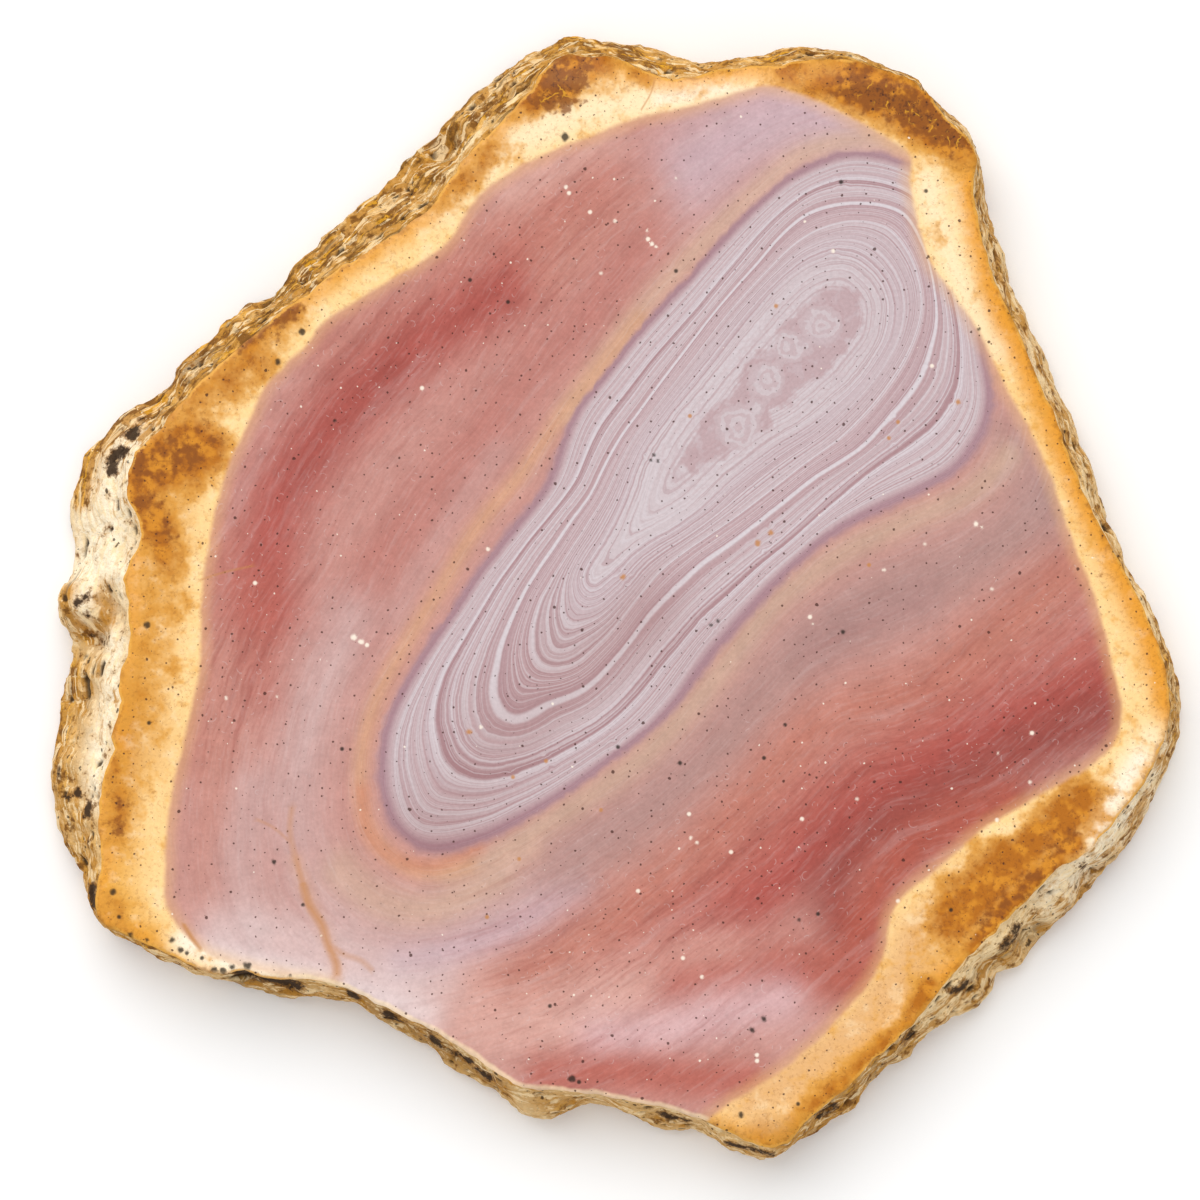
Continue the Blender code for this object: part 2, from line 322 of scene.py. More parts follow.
class GrowthRings:
    """The nested growth rings of the stone, from the pale core out to the edge of the lilac field."""

    CORE = (
        -12, 15, -26, 6, -35, 15, -35, 27, -26, 44, -12, 64, 0, 87, 11, 116, 23, 147, 44, 181, 67, 209,
        100, 249, 128, 284, 154, 313, 182, 337, 205, 347, 231, 349, 246, 342, 260, 331, 269, 319, 275, 307,
        278, 294, 278, 281, 275, 265, 269, 250, 260, 235, 249, 221, 235, 205, 220, 192, 204, 178, 188, 166,
        169, 155, 151, 143, 133, 130, 116, 117, 101, 100, 83, 85, 60, 69, 43, 59, 26, 49, 13, 38, 3, 28,
    )
    FIRST_WHITE_LINE = (
        -87, -52, -87, -28, -80, -3, -70, 15, -55, 38, -39, 64, -23, 90, -8, 116, 4, 142, 15, 162, 29, 181,
        50, 209, 81, 249, 108, 284, 134, 313, 159, 339, 173, 352, 188, 363, 203, 371, 231, 379, 260, 377,
        278, 367, 290, 353, 299, 337, 305, 317, 307, 296, 303, 274, 295, 253, 284, 233, 272, 215, 252, 189,
        227, 163, 190, 135, 161, 112, 132, 90, 103, 70, 75, 51, 46, 29, 20, -3, 3, -26, -15, -46, -38, -66,
        -61, -73, -78, -69,
    )
    THICK_WHITE_BAND = (
        1, 153, -12, 130, -26, 101, -44, 78, -61, 52, -81, 23, -96, -3, -107, -26, -116, -49, -121, -72,
        -124, -92, -120, -109, -107, -121, -90, -118, -72, -106, -46, -96, -26, -83, -6, -63, 14, -37,
        31, -14, 48, 3, 60, 15, 89, 41, 118, 61, 147, 84, 176, 107, 193, 121, 217, 135, 243, 151, 269, 178,
        286, 198, 304, 224, 312, 250, 318, 273, 318, 296, 315, 319, 311, 337, 305, 355, 298, 371, 289, 384,
        275, 391, 260, 394, 231, 395, 203, 390, 182, 380, 159, 357, 145, 339, 122, 313, 97, 284, 71, 249,
        41, 209, 21, 181,
    )
    DARK_LINE = (
        -45, 113, -72, 81, -98, 49, -121, 15, -142, -20, -157, -46, -170, -69, -178, -95, -181, -118,
        -176, -141, -168, -161, -150, -176, -127, -179, -101, -173, -72, -161, -44, -147, -12, -127,
        17, -101, 40, -72, 63, -46, 89, -17, 118, 9, 147, 35, 176, 58, 203, 84, 228, 107, 245, 123,
        263, 137, 289, 155, 312, 172, 329, 192, 340, 213, 344, 238, 344, 259, 340, 284, 333, 309, 326, 337,
        318, 361, 308, 385, 298, 400, 289, 406, 269, 414, 243, 418, 217, 417, 194, 409, 174, 394, 151, 374,
        128, 348, 104, 319, 81, 290, 58, 264, 35, 238, 12, 209, -8, 183, -25, 155, -37, 126,
    )
    PURPLE_START = (
        -51, 133, -64, 104, -84, 78, -107, 49, -130, 21, -150, -8, -171, -37, -191, -69, -209, -101,
        -221, -129, -225, -158, -224, -181, -222, -199, -214, -219, -199, -232, -176, -235, -147, -229,
        -119, -219, -84, -201, -55, -184, -21, -161, 8, -141, 34, -118, 57, -89, 80, -54, 103, -26, 127, 0,
        153, 26, 184, 52, 213, 75, 258, 99, 308, 122, 332, 137, 350, 158, 361, 181, 364, 209, 358, 238,
        353, 274, 349, 309, 338, 349, 323, 384, 308, 414, 289, 430, 260, 438, 231, 439, 203, 429, 174, 413,
        145, 388, 116, 359, 87, 328, 58, 296, 29, 264, 1, 230, -28, 192, -43, 162,
    )
    EYE_EDGE = (
        -61, 145, -72, 116, -96, 84, -119, 58, -142, 26, -159, -2, -179, -31, -202, -63, -220, -95,
        -233, -124, -238, -152, -240, -181, -235, -204, -225, -227, -208, -246, -185, -256, -159, -253,
        -130, -243, -96, -225, -61, -204, -26, -178, 3, -155, 31, -135, 60, -109, 86, -75, 109, -46,
        132, -20, 158, 9, 184, 37, 213, 62, 258, 86, 308, 109, 344, 132, 358, 152, 370, 172, 376, 201,
        373, 230, 368, 258, 361, 289, 351, 329, 338, 369, 323, 399, 301, 430, 286, 437, 266, 444, 243, 447,
        220, 445, 197, 437, 174, 426, 151, 408, 128, 388, 107, 365, 87, 342, 64, 316, 38, 290, 9, 256,
        -20, 218, -40, 195, -51, 171,
    )
    HALO_EDGE = (
        -96, 145, -127, 101, -156, 64, -179, 26, -199, -5, -222, -43, -240, -72, -257, -101, -269, -149,
        -274, -196, -265, -242, -237, -275, -202, -294, -172, -294, -143, -284, -106, -266, -59, -233,
        -12, -200, 10, -186, 54, -151, 97, -103, 132, -68, 167, -29, 202, 1, 246, 25, 289, 41, 333, 62,
        381, 93, 403, 119, 418, 159, 418, 199, 405, 249, 388, 299, 368, 359, 343, 419, 313, 454, 273, 469,
        233, 471, 197, 463, 162, 443, 133, 414, 104, 385, 78, 359, 53, 331, 27, 299, 1, 261, -22, 230,
        -48, 201, -72, 174,
    )
    LILAC_EDGE = (
        -78, 291, -115, 235, -153, 183, -200, 132, -237, 76, -265, 20, -302, -37, -326, -88, -345, -149,
        -354, -205, -354, -261, -342, -311, -312, -349, -272, -371, -222, -379, -172, -369, -122, -353,
        -77, -334, -51, -313, -20, -295, 10, -269, 41, -247, 71, -221, 106, -191, 137, -160, 167, -129,
        184, -112, 202, -95, 228, -84, 263, -77, 293, -66, 315, -51, 337, -29, 363, -7, 394, 19, 416, 36,
        437, 58, 458, 89, 471, 149, 463, 229, 438, 309, 403, 389, 353, 459, 283, 494, 223, 501, 173, 491,
        123, 467, 78, 437, 33, 404, -12, 364, -47, 329,
    )

    # How many millimetres make one level inside the core, and outside the last line.
    INSIDE_STEP = 8.0
    OUTSIDE_STEP = 10.0

    def __init__(self) -> None:
        """Draws the rings' lines, from the core outwards."""
        eye = (self.CORE, self.FIRST_WHITE_LINE, self.THICK_WHITE_BAND, self.DARK_LINE, self.PURPLE_START)
        courses = (*eye, self.EYE_EDGE, self.HALO_EDGE, self.LILAC_EDGE)
        self.lines = tuple(Line(drawn(course), closed=True) for course in courses)
        self.eye = self.lines[len(eye)]

    def level(self, places: np.ndarray) -> np.ndarray:
        """Works out how far out places are in the rings.

        Args:
            places: The places, one row each.

        Returns:
            The levels: a whole number on each drawn line, below 0 in the core and above 7 outside.
        """
        around = np.array([line.inside(places) for line in self.lines])
        rank = np.where(around.any(axis=0), np.argmax(around, axis=0), len(self.lines))
        levels = np.empty(len(places))
        core = rank == 0
        levels[core] = -self.lines[0].distance(places[core]) / self.INSIDE_STEP
        beyond = rank == len(self.lines)
        levels[beyond] = len(self.lines) - 1 + self.lines[-1].distance(places[beyond]) / self.OUTSIDE_STEP
        for outer in range(1, len(self.lines)):
            between = rank == outer
            from_inner = self.lines[outer - 1].distance(places[between])
            to_outer = self.lines[outer].distance(places[between])
            levels[between] = outer - 1 + from_inner / np.maximum(from_inner + to_outer, 1e-6)
        return levels


class CoreIsland:
    """The ragged mauve island in the eye's pale core, with a few pale cells in it."""

    OUTLINE = (
        68, 133, 67, 147, 78, 157, 83, 171, 89, 185, 106, 197, 118, 207, 125, 221, 131, 236, 140, 245,
        151, 248, 159, 254, 166, 263, 161, 269, 180, 281, 189, 291, 197, 299, 214, 309, 232, 311, 242, 301,
        244, 287, 241, 271, 231, 257, 225, 249, 217, 239, 211, 229, 207, 222, 195, 218, 185, 214, 175, 207,
        169, 196, 159, 194, 151, 191, 153, 183, 151, 175, 143, 167, 136, 162, 123, 153, 113, 148, 101, 144,
        93, 140, 83, 131, 74, 127,
    )
    # From how many millimetres away the island no longer matters.
    FAR = 12.0
    CELLS = (
        (20.4, 27.3, 2.0), (17.2, 25.2, 1.6), (14.9, 21.9, 1.8), (12.1, 17.2, 2.2), (13.7, 19.2, 0.9),
        (18.6, 25.3, 0.9),
    )

    def gap(self, places: np.ndarray) -> np.ndarray:
        """The distance in millimetres to the island's outline, below zero inside it."""
        return Line(drawn(self.OUTLINE), closed=True).gap(places, self.FAR)

    def cell_gap(self, places: np.ndarray) -> np.ndarray:
        """The distance in millimetres to the nearest cell's edge, below zero inside a cell."""
        gaps = [np.hypot(places[:, 0] - x, places[:, 1] - y) - radius for x, y, radius in self.CELLS]
        return np.min(gaps, axis=0)


class ColourFields:
    """The coloured fields round the eye, the cream band round them, and the rust in the band."""

    BAND_INNER_EDGE = (
        147, 513, 178, 507, 213, 492, 251, 473, 281, 456, 295, 442, 293, 419, 299, 385, 312, 339, 335, 308,
        358, 274, 373, 247, 389, 213, 404, 186, 423, 151, 442, 102, 454, 63, 473, 17, 480, -1, 488, -32,
        496, -66, 505, -108, 500, -139, 477, -166, 442, -185, 404, -208, 366, -231, 327, -265, 289, -296,
        274, -319, 268, -353, 251, -387, 228, -414, 193, -449, 155, -479, 117, -502, 91, -521, 73, -536,
        23, -536, -17, -526, -62, -521, -117, -511, -172, -476, -222, -441, -267, -411, -287, -386,
        -330, -378, -387, -365, -426, -342, -451, -307, -452, -261, -449, -215, -441, -173, -430, -127,
        -418, -70, -416, -1, -407, 63, -391, 128, -372, 170, -349, 216, -311, 255, -292, 278, -234, 316,
        -173, 354, -139, 404, -81, 442, -17, 467, 21, 482, 59, 490, 109, 503,
    )

    FIELD = (
        Wash(Tone.ROSE, (-117, 339, -57, 384, -17, 419, 23, 449), 5.5),
        Wash(Tone.SOFT_RED, (-97, 349, -47, 384, -7, 419), 2.8, 0.5),
        Wash(Tone.PALE_ROSE, (-107, 407, -57, 434, -7, 457), 1.8, 0.7),
        Wash(Tone.WHITE_LILAC, (143, 467, 213, 471), 2.0, 0.3),
        Wash(Tone.COOL_LILAC, (73, 429, 123, 464, 183, 489, 233, 484), 5.0),
        Wash(Tone.ROSE, (-287, 249, -217, 299, -157, 339), 3.5, 0.7),
        Wash(Tone.ROSE, (-402, 39, -407, -41, -412, -121, -422, -201), 5.0),
        Wash(Tone.RED, (-351, -7, -351, 39, -332, 109, -287, 174, -232, 229, -172, 274, -112, 309), 4.2),
        Wash(Tone.DEEP_RED, (-317, 119, -272, 184, -217, 229), 2.4, 0.35),
        Wash(Tone.DEEP_RED, (-177, 269, -142, 299, -107, 319), 2.2, 0.18),
        Wash(Tone.SOFT_RED, (-359, 9, -355, -51, -349, -101), 2.6, 0.55),
        Wash(Tone.ROSE, (-57, 329, -17, 369, 23, 409), 3.5, 0.6),
        Wash(Tone.ROSE_LILAC, (23, 359, -27, 289, -87, 229, -137, 164, -187, 99, -232, 39, -277, -31), 3.6),
        Wash(Tone.LILAC, (-117, 149, -157, 94, -192, 39, -222, -16), 1.3, 0.35),
        Wash(Tone.LILAC, (-267, -21, -297, -91, -317, -161, -322, -231), 3.2, 0.85),
        Wash(Tone.WHITE_LILAC, (-272, -51, -299, -106, -317, -166), 1.0, 0.12),
        Wash(Tone.DUSTY_ROSE, (-427, -201, -439, -261, -437, -301), 2.5, 0.8),
        Wash(Tone.ROSE, (-395, -161, -405, -251, -402, -321), 1.6, 0.5),
        Wash(Tone.LILAC, (-362, -191, -377, -261, -365, -331), 2.6, 0.8),
        Wash(Tone.LILAC, (-307, -281, -272, -316, -217, -336, -157, -326, -97, -301), 4.0, 0.8),
        Wash(Tone.COOL_LILAC, (-217, -366, -157, -351, -97, -326, -42, -291), 2.0, 0.8),
        Wash(Tone.WHITE_LILAC, (-402, -356, -337, -371, -267, -389, -187, -416), 2.3, 0.95),
        Wash(Tone.WHITE_LILAC, (-397, -326, -342, -331, -277, -351, -217, -379, -167, -383), 2.4, 0.5),
        Wash(Tone.PALE_ROSE, (-137, -386, -87, -376), 2.4, 0.7),
        Wash(Tone.WHITE_CREAM, (-412, -359, -357, -373, -297, -385), 1.0, 0.55),
        Wash(Tone.GREY_LILAC, (-47, -261, 8, -226, 63, -186, 113, -136, 153, -91, 198, -41, 263, -1,
            333, 29, 393, 64, 433, 99), 3.9),
        Wash(Tone.DUSK, (203, -51, 243, -26, 303, -1), 2.8, 0.6),
        Wash(Tone.GREY_LILAC, (378, 169, 408, 129, 428, 89), 3.0, 0.6),
        Wash(Tone.SALMON, (-97, -386, -17, -336, 33, -296, 93, -246, 148, -186, 195, -134, 243, -111,
            313, -89, 368, -46, 418, -4, 453, 24), 3.6),
        Wash(Tone.SOFT_RED, (23, -361, 103, -296, 173, -231, 233, -181, 313, -136, 393, -91,
            468, -46), 3.8, 0.85),
        Wash(Tone.RED, (103, -331, 163, -281, 233, -216, 313, -166, 393, -121, 483, -81), 3.2, 0.92),
        Wash(Tone.DEEP_RED, (483, -116, 428, -143, 368, -176, 303, -209, 248, -246, 218, -286,
            233, -331), 3.2, 0.85),
        Wash(Tone.BRICK, (393, -201, 318, -236, 271, -276, 249, -321, 241, -351), 2.8, 0.95),
        Wash(Tone.PALE_ROSE, (-147, -431, -57, -421, 23, -386, 103, -361), 3.8, 0.9),
        Wash(Tone.SOFT_RED, (63, -386, 123, -376, 183, -373, 233, -376), 3.0, 0.85),
        Wash(Tone.BRICK, (168, -369, 213, -376, 253, -386), 2.8, 0.6),
        Wash(Tone.PINK_GLOW, (-17, -441, 43, -433, 113, -413, 163, -401), 2.6, 0.85),
        Wash(Tone.SOFT_RED, (-72, -476, 3, -473, 63, -479, 133, -481), 2.4, 0.95),
        Wash(Tone.HALO_PALE, (-51, 184, -17, 234, 23, 287, 63, 331, 103, 373, 143, 411, 183, 443, 233, 459,
            288, 453), 1.2, 0.75),
        Wash(Tone.HALO_TAN, (-167, -273, -122, -257, -75, -227, -25, -195, 25, -158, 75, -107, 115, -57,
            155, -7, 198, 27, 245, 57, 305, 84, 355, 107, 391, 144), 1.4, 0.8),
        Wash(Tone.HALO_TAN, (-272, -261, -232, -296, -177, -306, -117, -281), 1.6, 0.45),
        Wash(Tone.HALO_ORANGE, (23, 281, -17, 231, -55, 184, -77, 152, -99, 121, -127, 89, -152, 54,
            -170, 21, -192, -13, -212, -46, -232, -81, -246, -116, -255, -153, -257, -191, -249, -229,
            -227, -257, -192, -274, -147, -267), 0.9, 0.8),
        Wash(Tone.HALO_PALE, (-282, -276, -242, -306, -192, -313, -142, -291, -87, -251), 1.5, 0.5),
        Wash(Tone.HALO_RED, (-255, -191, -251, -227, -234, -251, -207, -265, -175, -265,
            -139, -249), 0.75, 0.75),
        Wash(Tone.HALO_ORANGE, (-321, -261, -305, -306, -287, -346, -280, -373), 0.7, 0.45),
    )

    REDNESS = (
        Wash(None, (-377, -101, -361, 39, -287, 174, -172, 274, -57, 369), 7.5, 1.0),
        Wash(None, (-57, -371, 103, -296, 233, -201, 368, -136, 468, -71), 9.0, 1.0),
        Wash(None, (-57, -461, 103, -431), 5.0, 0.6),
    )

    BAND = (
        Wash(Tone.HONEY, (-452, 99, -467, 19, -477, -51, -485, -121, -495, -191), 4.2, 0.75),
        Wash(Tone.DEEP_GOLD, (-489, -101, -501, -161, -503, -221, -497, -251), 1.6, 0.75),
        Wash(Tone.GOLD, (-402, 249, -352, 299, -287, 337, -222, 384), 2.4, 0.7),
        Wash(Tone.CREAM, (-409, 99, -421, 19, -427, -41, -435, -101), 1.3, 0.85),
        Wash(Tone.CREAM, (-287, 299, -217, 344, -177, 374), 2.2, 0.8),
        Wash(Tone.GOLD, (-287, 329, -217, 374, -162, 419, -117, 459, -77, 489), 1.6, 0.6),
        Wash(Tone.CREAM, (-462, -191, -467, -251, -452, -311, -427, -341), 1.6, 0.8),
        Wash(Tone.GOLD, (-489, -251, -495, -281, -489, -306), 2.0, 0.7),
        Wash(Tone.WHITE_CREAM, (-433, -341, -417, -351, -382, -364, -317, -376), 1.3, 0.95),
        Wash(Tone.GOLD, (-513, -281, -499, -316, -471, -337), 1.8, 1.0),
        Wash(Tone.DEEP_GOLD, (-517, -306, -505, -326, -482, -341), 0.9, 0.8),
        Wash(Tone.PALE_CREAM, (-177, 399, -117, 449, -57, 479, 3, 494, 73, 507, 143, 524), 2.2, 0.9),
        Wash(Tone.WHITE_CREAM, (43, 501, 83, 507, 123, 517), 0.8, 0.7),
        Wash(Tone.GOLD, (303, 449, 333, 449, 348, 409), 1.6, 0.7),
        Wash(Tone.PALE_CREAM, (308, 419, 323, 369, 348, 309, 383, 249), 1.6, 0.9),
        Wash(Tone.AMBER, (355, 434, 361, 389, 371, 339, 391, 279), 1.5, 0.85),
        Wash(Tone.CREAM, (403, 209, 443, 119, 473, 39, 498, -41), 1.6, 0.9),
        Wash(Tone.AMBER, (383, 309, 418, 224, 459, 129, 485, 69, 511, 16, 535, -41, 545, -101), 1.9, 0.95),
        Wash(Tone.GOLD, (-17, 527, 43, 533, 103, 533, 163, 539), 1.0, 0.8),
        Wash(Tone.OCHRE, (183, 537, 233, 533, 288, 515, 333, 479, 355, 449), 1.4, 0.8),
        Wash(Tone.CREAM, (518, -91, 523, -131, 503, -166, 453, -196), 1.4, 0.95),
        Wash(Tone.PALE_CREAM, (533, -141, 505, -181, 488, -216, 468, -251), 1.6, 0.95),
        Wash(Tone.WHITE_CREAM, (523, -161, 498, -201, 478, -236), 1.0, 0.9),
        Wash(Tone.TAN_CREAM, (343, -281, 303, -331, 283, -381, 243, -431, 183, -476, 128, -511), 2.4, 0.8),
        Wash(Tone.TAN_CREAM, (298, -341, 278, -391, 238, -441, 173, -491), 2.2, 0.6),
        Wash(Tone.HONEY, (301, -386, 321, -366), 1.6, 0.5),
        Wash(Tone.TAN_CREAM, (263, -386, 228, -431, 183, -466, 133, -501), 0.9, 0.7),
        Wash(Tone.CREAM, (403, -216, 343, -263, 291, -306), 0.9, 0.5),
        Wash(Tone.AMBER, (368, -346, 288, -431, 233, -483, 173, -531, 138, -547), 2.0, 0.8),
        Wash(Tone.DEEP_GOLD, (348, -366, 288, -433, 233, -486, 173, -533, 138, -549), 1.0, 0.9),
        Wash(Tone.CREAM, (83, -521, 123, -531), 1.2, 0.8),
    )

    RUST = (
        Wash(None, (-477, 124, -447, 137, -422, 149), 3.4, 1.2),
        Wash(None, (-477, 99, -459, 69, -452, 39), 2.6, 0.85),
        Wash(None, (-427, 199, -377, 224, -355, 259), 2.6, 0.75),
        Wash(None, (-467, 179, -432, 219, -392, 259), 1.4, 0.95),
        Wash(None, (-377, 274, -352, 284, -327, 291), 2.0, 1.1),
        Wash(None, (-392, 209, -412, 179), 2.2, 0.45),
        Wash(None, (-457, 9, -472, -81, -477, -121), 2.6, 0.42),
        Wash(None, (-503, -161, -499, -196, -499, -236), 1.7, 0.66),
        Wash(None, (-509, -301, -492, -331), 1.4, 0.5),
        Wash(None, (-127, 451, -147, 427, -172, 399), 1.7, 0.66),
        Wash(None, (-87, 504, -57, 524, -17, 537), 2.6, 1.1),
        Wash(None, (-17, 521, 23, 527), 1.7, 0.7),
        Wash(None, (168, 527, 208, 517), 2.4, 0.95),
        Wash(None, (233, 517, 273, 501, 313, 481, 338, 465), 3.1, 1.25),
        Wash(None, (460, -207, 428, -237, 393, -265), 2.6, 1.1),
        Wash(None, (387, -269, 353, -301, 333, -323), 3.0, 1.1),
        Wash(None, (313, -386, 283, -426, 233, -476, 183, -516), 1.1, 0.75),
        Wash(None, (457, -243, 429, -269, 393, -306, 358, -346), 1.3, 1.1),
    )

    PALE_RIM = (
        Wash(None, (-445, -339, -417, -356, -377, -369, -317, -379), 1.7, 1.0),
        Wash(None, (535, -136, 511, -176, 488, -216, 465, -253), 1.8, 1.0),
    )

    EYE_TAIL = (Wash(None, (-177, -231, -137, -176, -67, -91, 23, -21), 5.5, 1.0),)

    RUST_BROWN = (
        Wash(None, (-477, 131, -452, 139, -425, 151), 2.6, 0.7),
        Wash(None, (-472, 99, -457, 74), 2.2, 0.55),
        Wash(None, (-382, 264, -355, 277, -327, 291), 1.8, 0.8),
        Wash(None, (-65, 537, -42, 517, -72, 499), 1.8, 0.95),
        Wash(None, (-32, 539, -57, 494), 1.4, 0.9),
        Wash(None, (233, 517, 273, 501, 313, 479, 338, 463), 2.4, 1.0),
        Wash(None, (453, -241, 429, -266, 393, -303, 368, -331), 1.5, 0.62),
        Wash(None, (-499, -201, -498, -237), 1.2, 0.5),
    )

    # Both as shares of a spot's radius.
    SPOT_RAGGEDNESS = 0.35
    SPOT_SOFTNESS = 0.3
    DARK_MARKS = (
        (-5.2, 46.2, 0.42), (-31.5, 26.7, 0.36), (-33.9, 23.7, 0.28), (-44.5, -34.1, 0.28),
        (-43.7, -35.1, 0.3), (-43.0, -35.4, 0.22), (-41.5, -35.9, 0.22), (-40.3, -37.1, 0.3),
        (-39.4, -37.2, 0.34), (-38.5, -36.8, 0.26), (-37.0, -36.7, 0.4), (-48.7, -33.6, 0.26),
        (-47.0, -34.1, 0.18), (-50.4, -29.3, 0.32), (-49.8, -31.8, 0.22), (-32.7, -37.7, 0.18),
        (-4.5, -48.0, 0.36), (-3.8, -48.3, 0.22), (12.4, -51.6, 0.28), (18.1, -50.5, 0.2),
        (-14.7, 31.9, 0.2), (-10.9, 29.7, 0.22), (-46.8, -12.4, 0.22), (-47.0, -2.6, 0.34),
        (22.4, 41.7, 0.24), (5.9, 32.8, 0.2), (3.7, 14.4, 0.15), (3.4, 13.9, 0.14), (4.1, 13.8, 0.14),
        (13.5, -43.1, 0.26), (14.7, -42.0, 0.28), (20.1, -31.5, 0.2), (18.2, -32.1, 0.15),
        (33.4, -31.1, 0.2), (16.8, -12.6, 0.18), (14.7, -15.9, 0.2), (6.3, -16.4, 0.24), (22.6, -3.3, 0.24),
        (9.4, -2.6, 0.15), (10.1, -2.2, 0.14), (-34.3, -26.3, 0.24), (-31.4, -30.6, 0.18),
        (-6.7, -40.7, 0.2), (30.9, 40.8, 0.2), (36.2, 27.0, 0.16), (0.1, -14.8, 0.2), (-28.2, 17.8, 0.16),
        (-27.5, -15.0, 0.2),
    )

    FLECKS = (
        (-26.3, -3.8, 0.29), (-25.6, -4.3, 0.26), (-25.0, -4.6, 0.21), (3.1, 36.0, 0.22), (3.5, 35.5, 0.21),
        (3.9, 35.2, 0.14), (-2.7, 38.7, 0.19), (-5.1, 41.2, 0.17), (-4.8, 40.6, 0.19), (14.0, -45.6, 0.21),
        (14.0, -46.2, 0.22), (41.5, -13.4, 0.22), (38.0, -22.1, 0.17), (-36.2, 1.6, 0.21),
        (19.3, -1.8, 0.22), (19.6, -2.5, 0.12), (35.9, 7.5, 0.24), (36.5, 7.2, 0.12), (7.2, -21.5, 0.19),
        (7.4, -23.9, 0.14), (8.0, -24.4, 0.15), (11.4, -25.3, 0.17), (18.5, -22.0, 0.19),
        (2.1, -29.2, 0.17), (-19.5, 21.1, 0.21), (24.0, -20.0, 0.14), (41.3, -18.3, 0.15),
        (38.1, -15.4, 0.12), (8.5, -37.8, 0.17), (6.6, -35.9, 0.19), (-0.2, 37.8, 0.15), (-1.6, 32.6, 0.14),
        (3.0, 36.9, 0.12), (5.9, 42.1, 0.12), (-39.1, -9.9, 0.15), (-34.0, -9.8, 0.12), (28.1, -30.2, 0.17),
        (30.8, 5.5, 0.14), (37.5, 1.0, 0.14), (26.7, 2.9, 0.14), (-12.9, 5.0, 0.17), (-13.6, -12.8, 0.15),
        (31.5, 23.3, 0.17), (21.6, 34.8, 0.17),
    )

    STAINS = (
        (14.1, 5.6, 0.3), (15.4, 6.6, 0.26), (0.6, 2.2, 0.28), (-14.8, -13.3, 0.28), (-7.1, -16.2, 0.2),
        (-10.4, -17.8, 0.2), (15.9, 29.3, 0.24), (7.3, 18.3, 0.2), (28.1, 17.7, 0.2), (27.2, 16.1, 0.2),
        (34.1, 19.7, 0.26), (25.2, 3.4, 0.2), (-9.8, -26.0, 0.2), (-13.0, -31.8, 0.18), (-1.6, -21.1, 0.18),
    )

    CRACKS = (
        Thread((-325, -209, -327, -233, -321, -261, -314, -286), 0.26, 0.4),
        Thread((-314, -286, -308, -306, -295, -326, -289, -346, -281, -363, -280, -376), 0.36, 0.65),
        Thread((-287, -347, -272, -356, -257, -361, -245, -371), 0.26, 0.4),
        Thread((-359, -221, -343, -229, -327, -243), 0.14, 0.35),
        Thread((-417, 19, -392, 27, -365, 33), 0.1, 0.5),
        Thread((-433, -326, -425, -339, -416, -351), 0.18, 0.8),
        Thread((37, 516, 33, 504, 24, 489), 0.08, 0.6),
    )

    def band_gap(self, places: np.ndarray) -> np.ndarray:
        """How far places are out in the cream band in millimetres, below zero in the fields."""
        return Line(drawn(self.BAND_INNER_EDGE), closed=True).gap(places)

    @staticmethod
    def total(places: np.ndarray, washes: Sequence[Wash]) -> np.ndarray:
        """The strongest share of any of the washes at each place."""
        return np.max([wash.share(places) for wash in washes], axis=0)

    @classmethod
    def spots(cls, places: np.ndarray, marks: Sequence[Spot]) -> np.ndarray:
        """How much of a ragged spot lies at each place.

        Args:
            places: The places, one row each.
            marks: The spots.

        Returns:
            The shares, from 0 outside the spots to 1 in them.
        """
        found = np.zeros(len(places))
        for x, y, radius in marks:
            distance = np.hypot(places[:, 0] - x, places[:, 1] - y)
            near = np.flatnonzero(distance < 3.0 * radius)
            ragged = [noise.noise(Vector((*(places[i] / radius), 4.0))) for i in near]
            edge = radius - distance[near] - cls.SPOT_RAGGEDNESS * radius * np.array(ragged)
            soft = cls.SPOT_SOFTNESS * radius
            share = eased(edge, -soft, soft)
            found[near] = np.maximum(found[near], share)
        return found

    @staticmethod
    def threads(places: np.ndarray, threads: Sequence[Thread]) -> np.ndarray:
        """How much of a thin crack lies at each place.

        Args:
            places: The places, one row each.
            threads: The cracks.

        Returns:
            The shares, from 0 outside them to their strength.
        """
        found = np.zeros(len(places))
        for thread in threads:
            distance = Line(drawn(thread.course)).distance(places, 2.0 * thread.width)
            share = thread.strength * eased(-distance, -1.6 * thread.width, -0.4 * thread.width)
            found = np.maximum(found, share)
        return found


class Region(IntEnum):
    """The slab's three kinds of surface, by the number of their finish on the piece."""

    FACE = 0
    RIND = 1
    BACK = 2


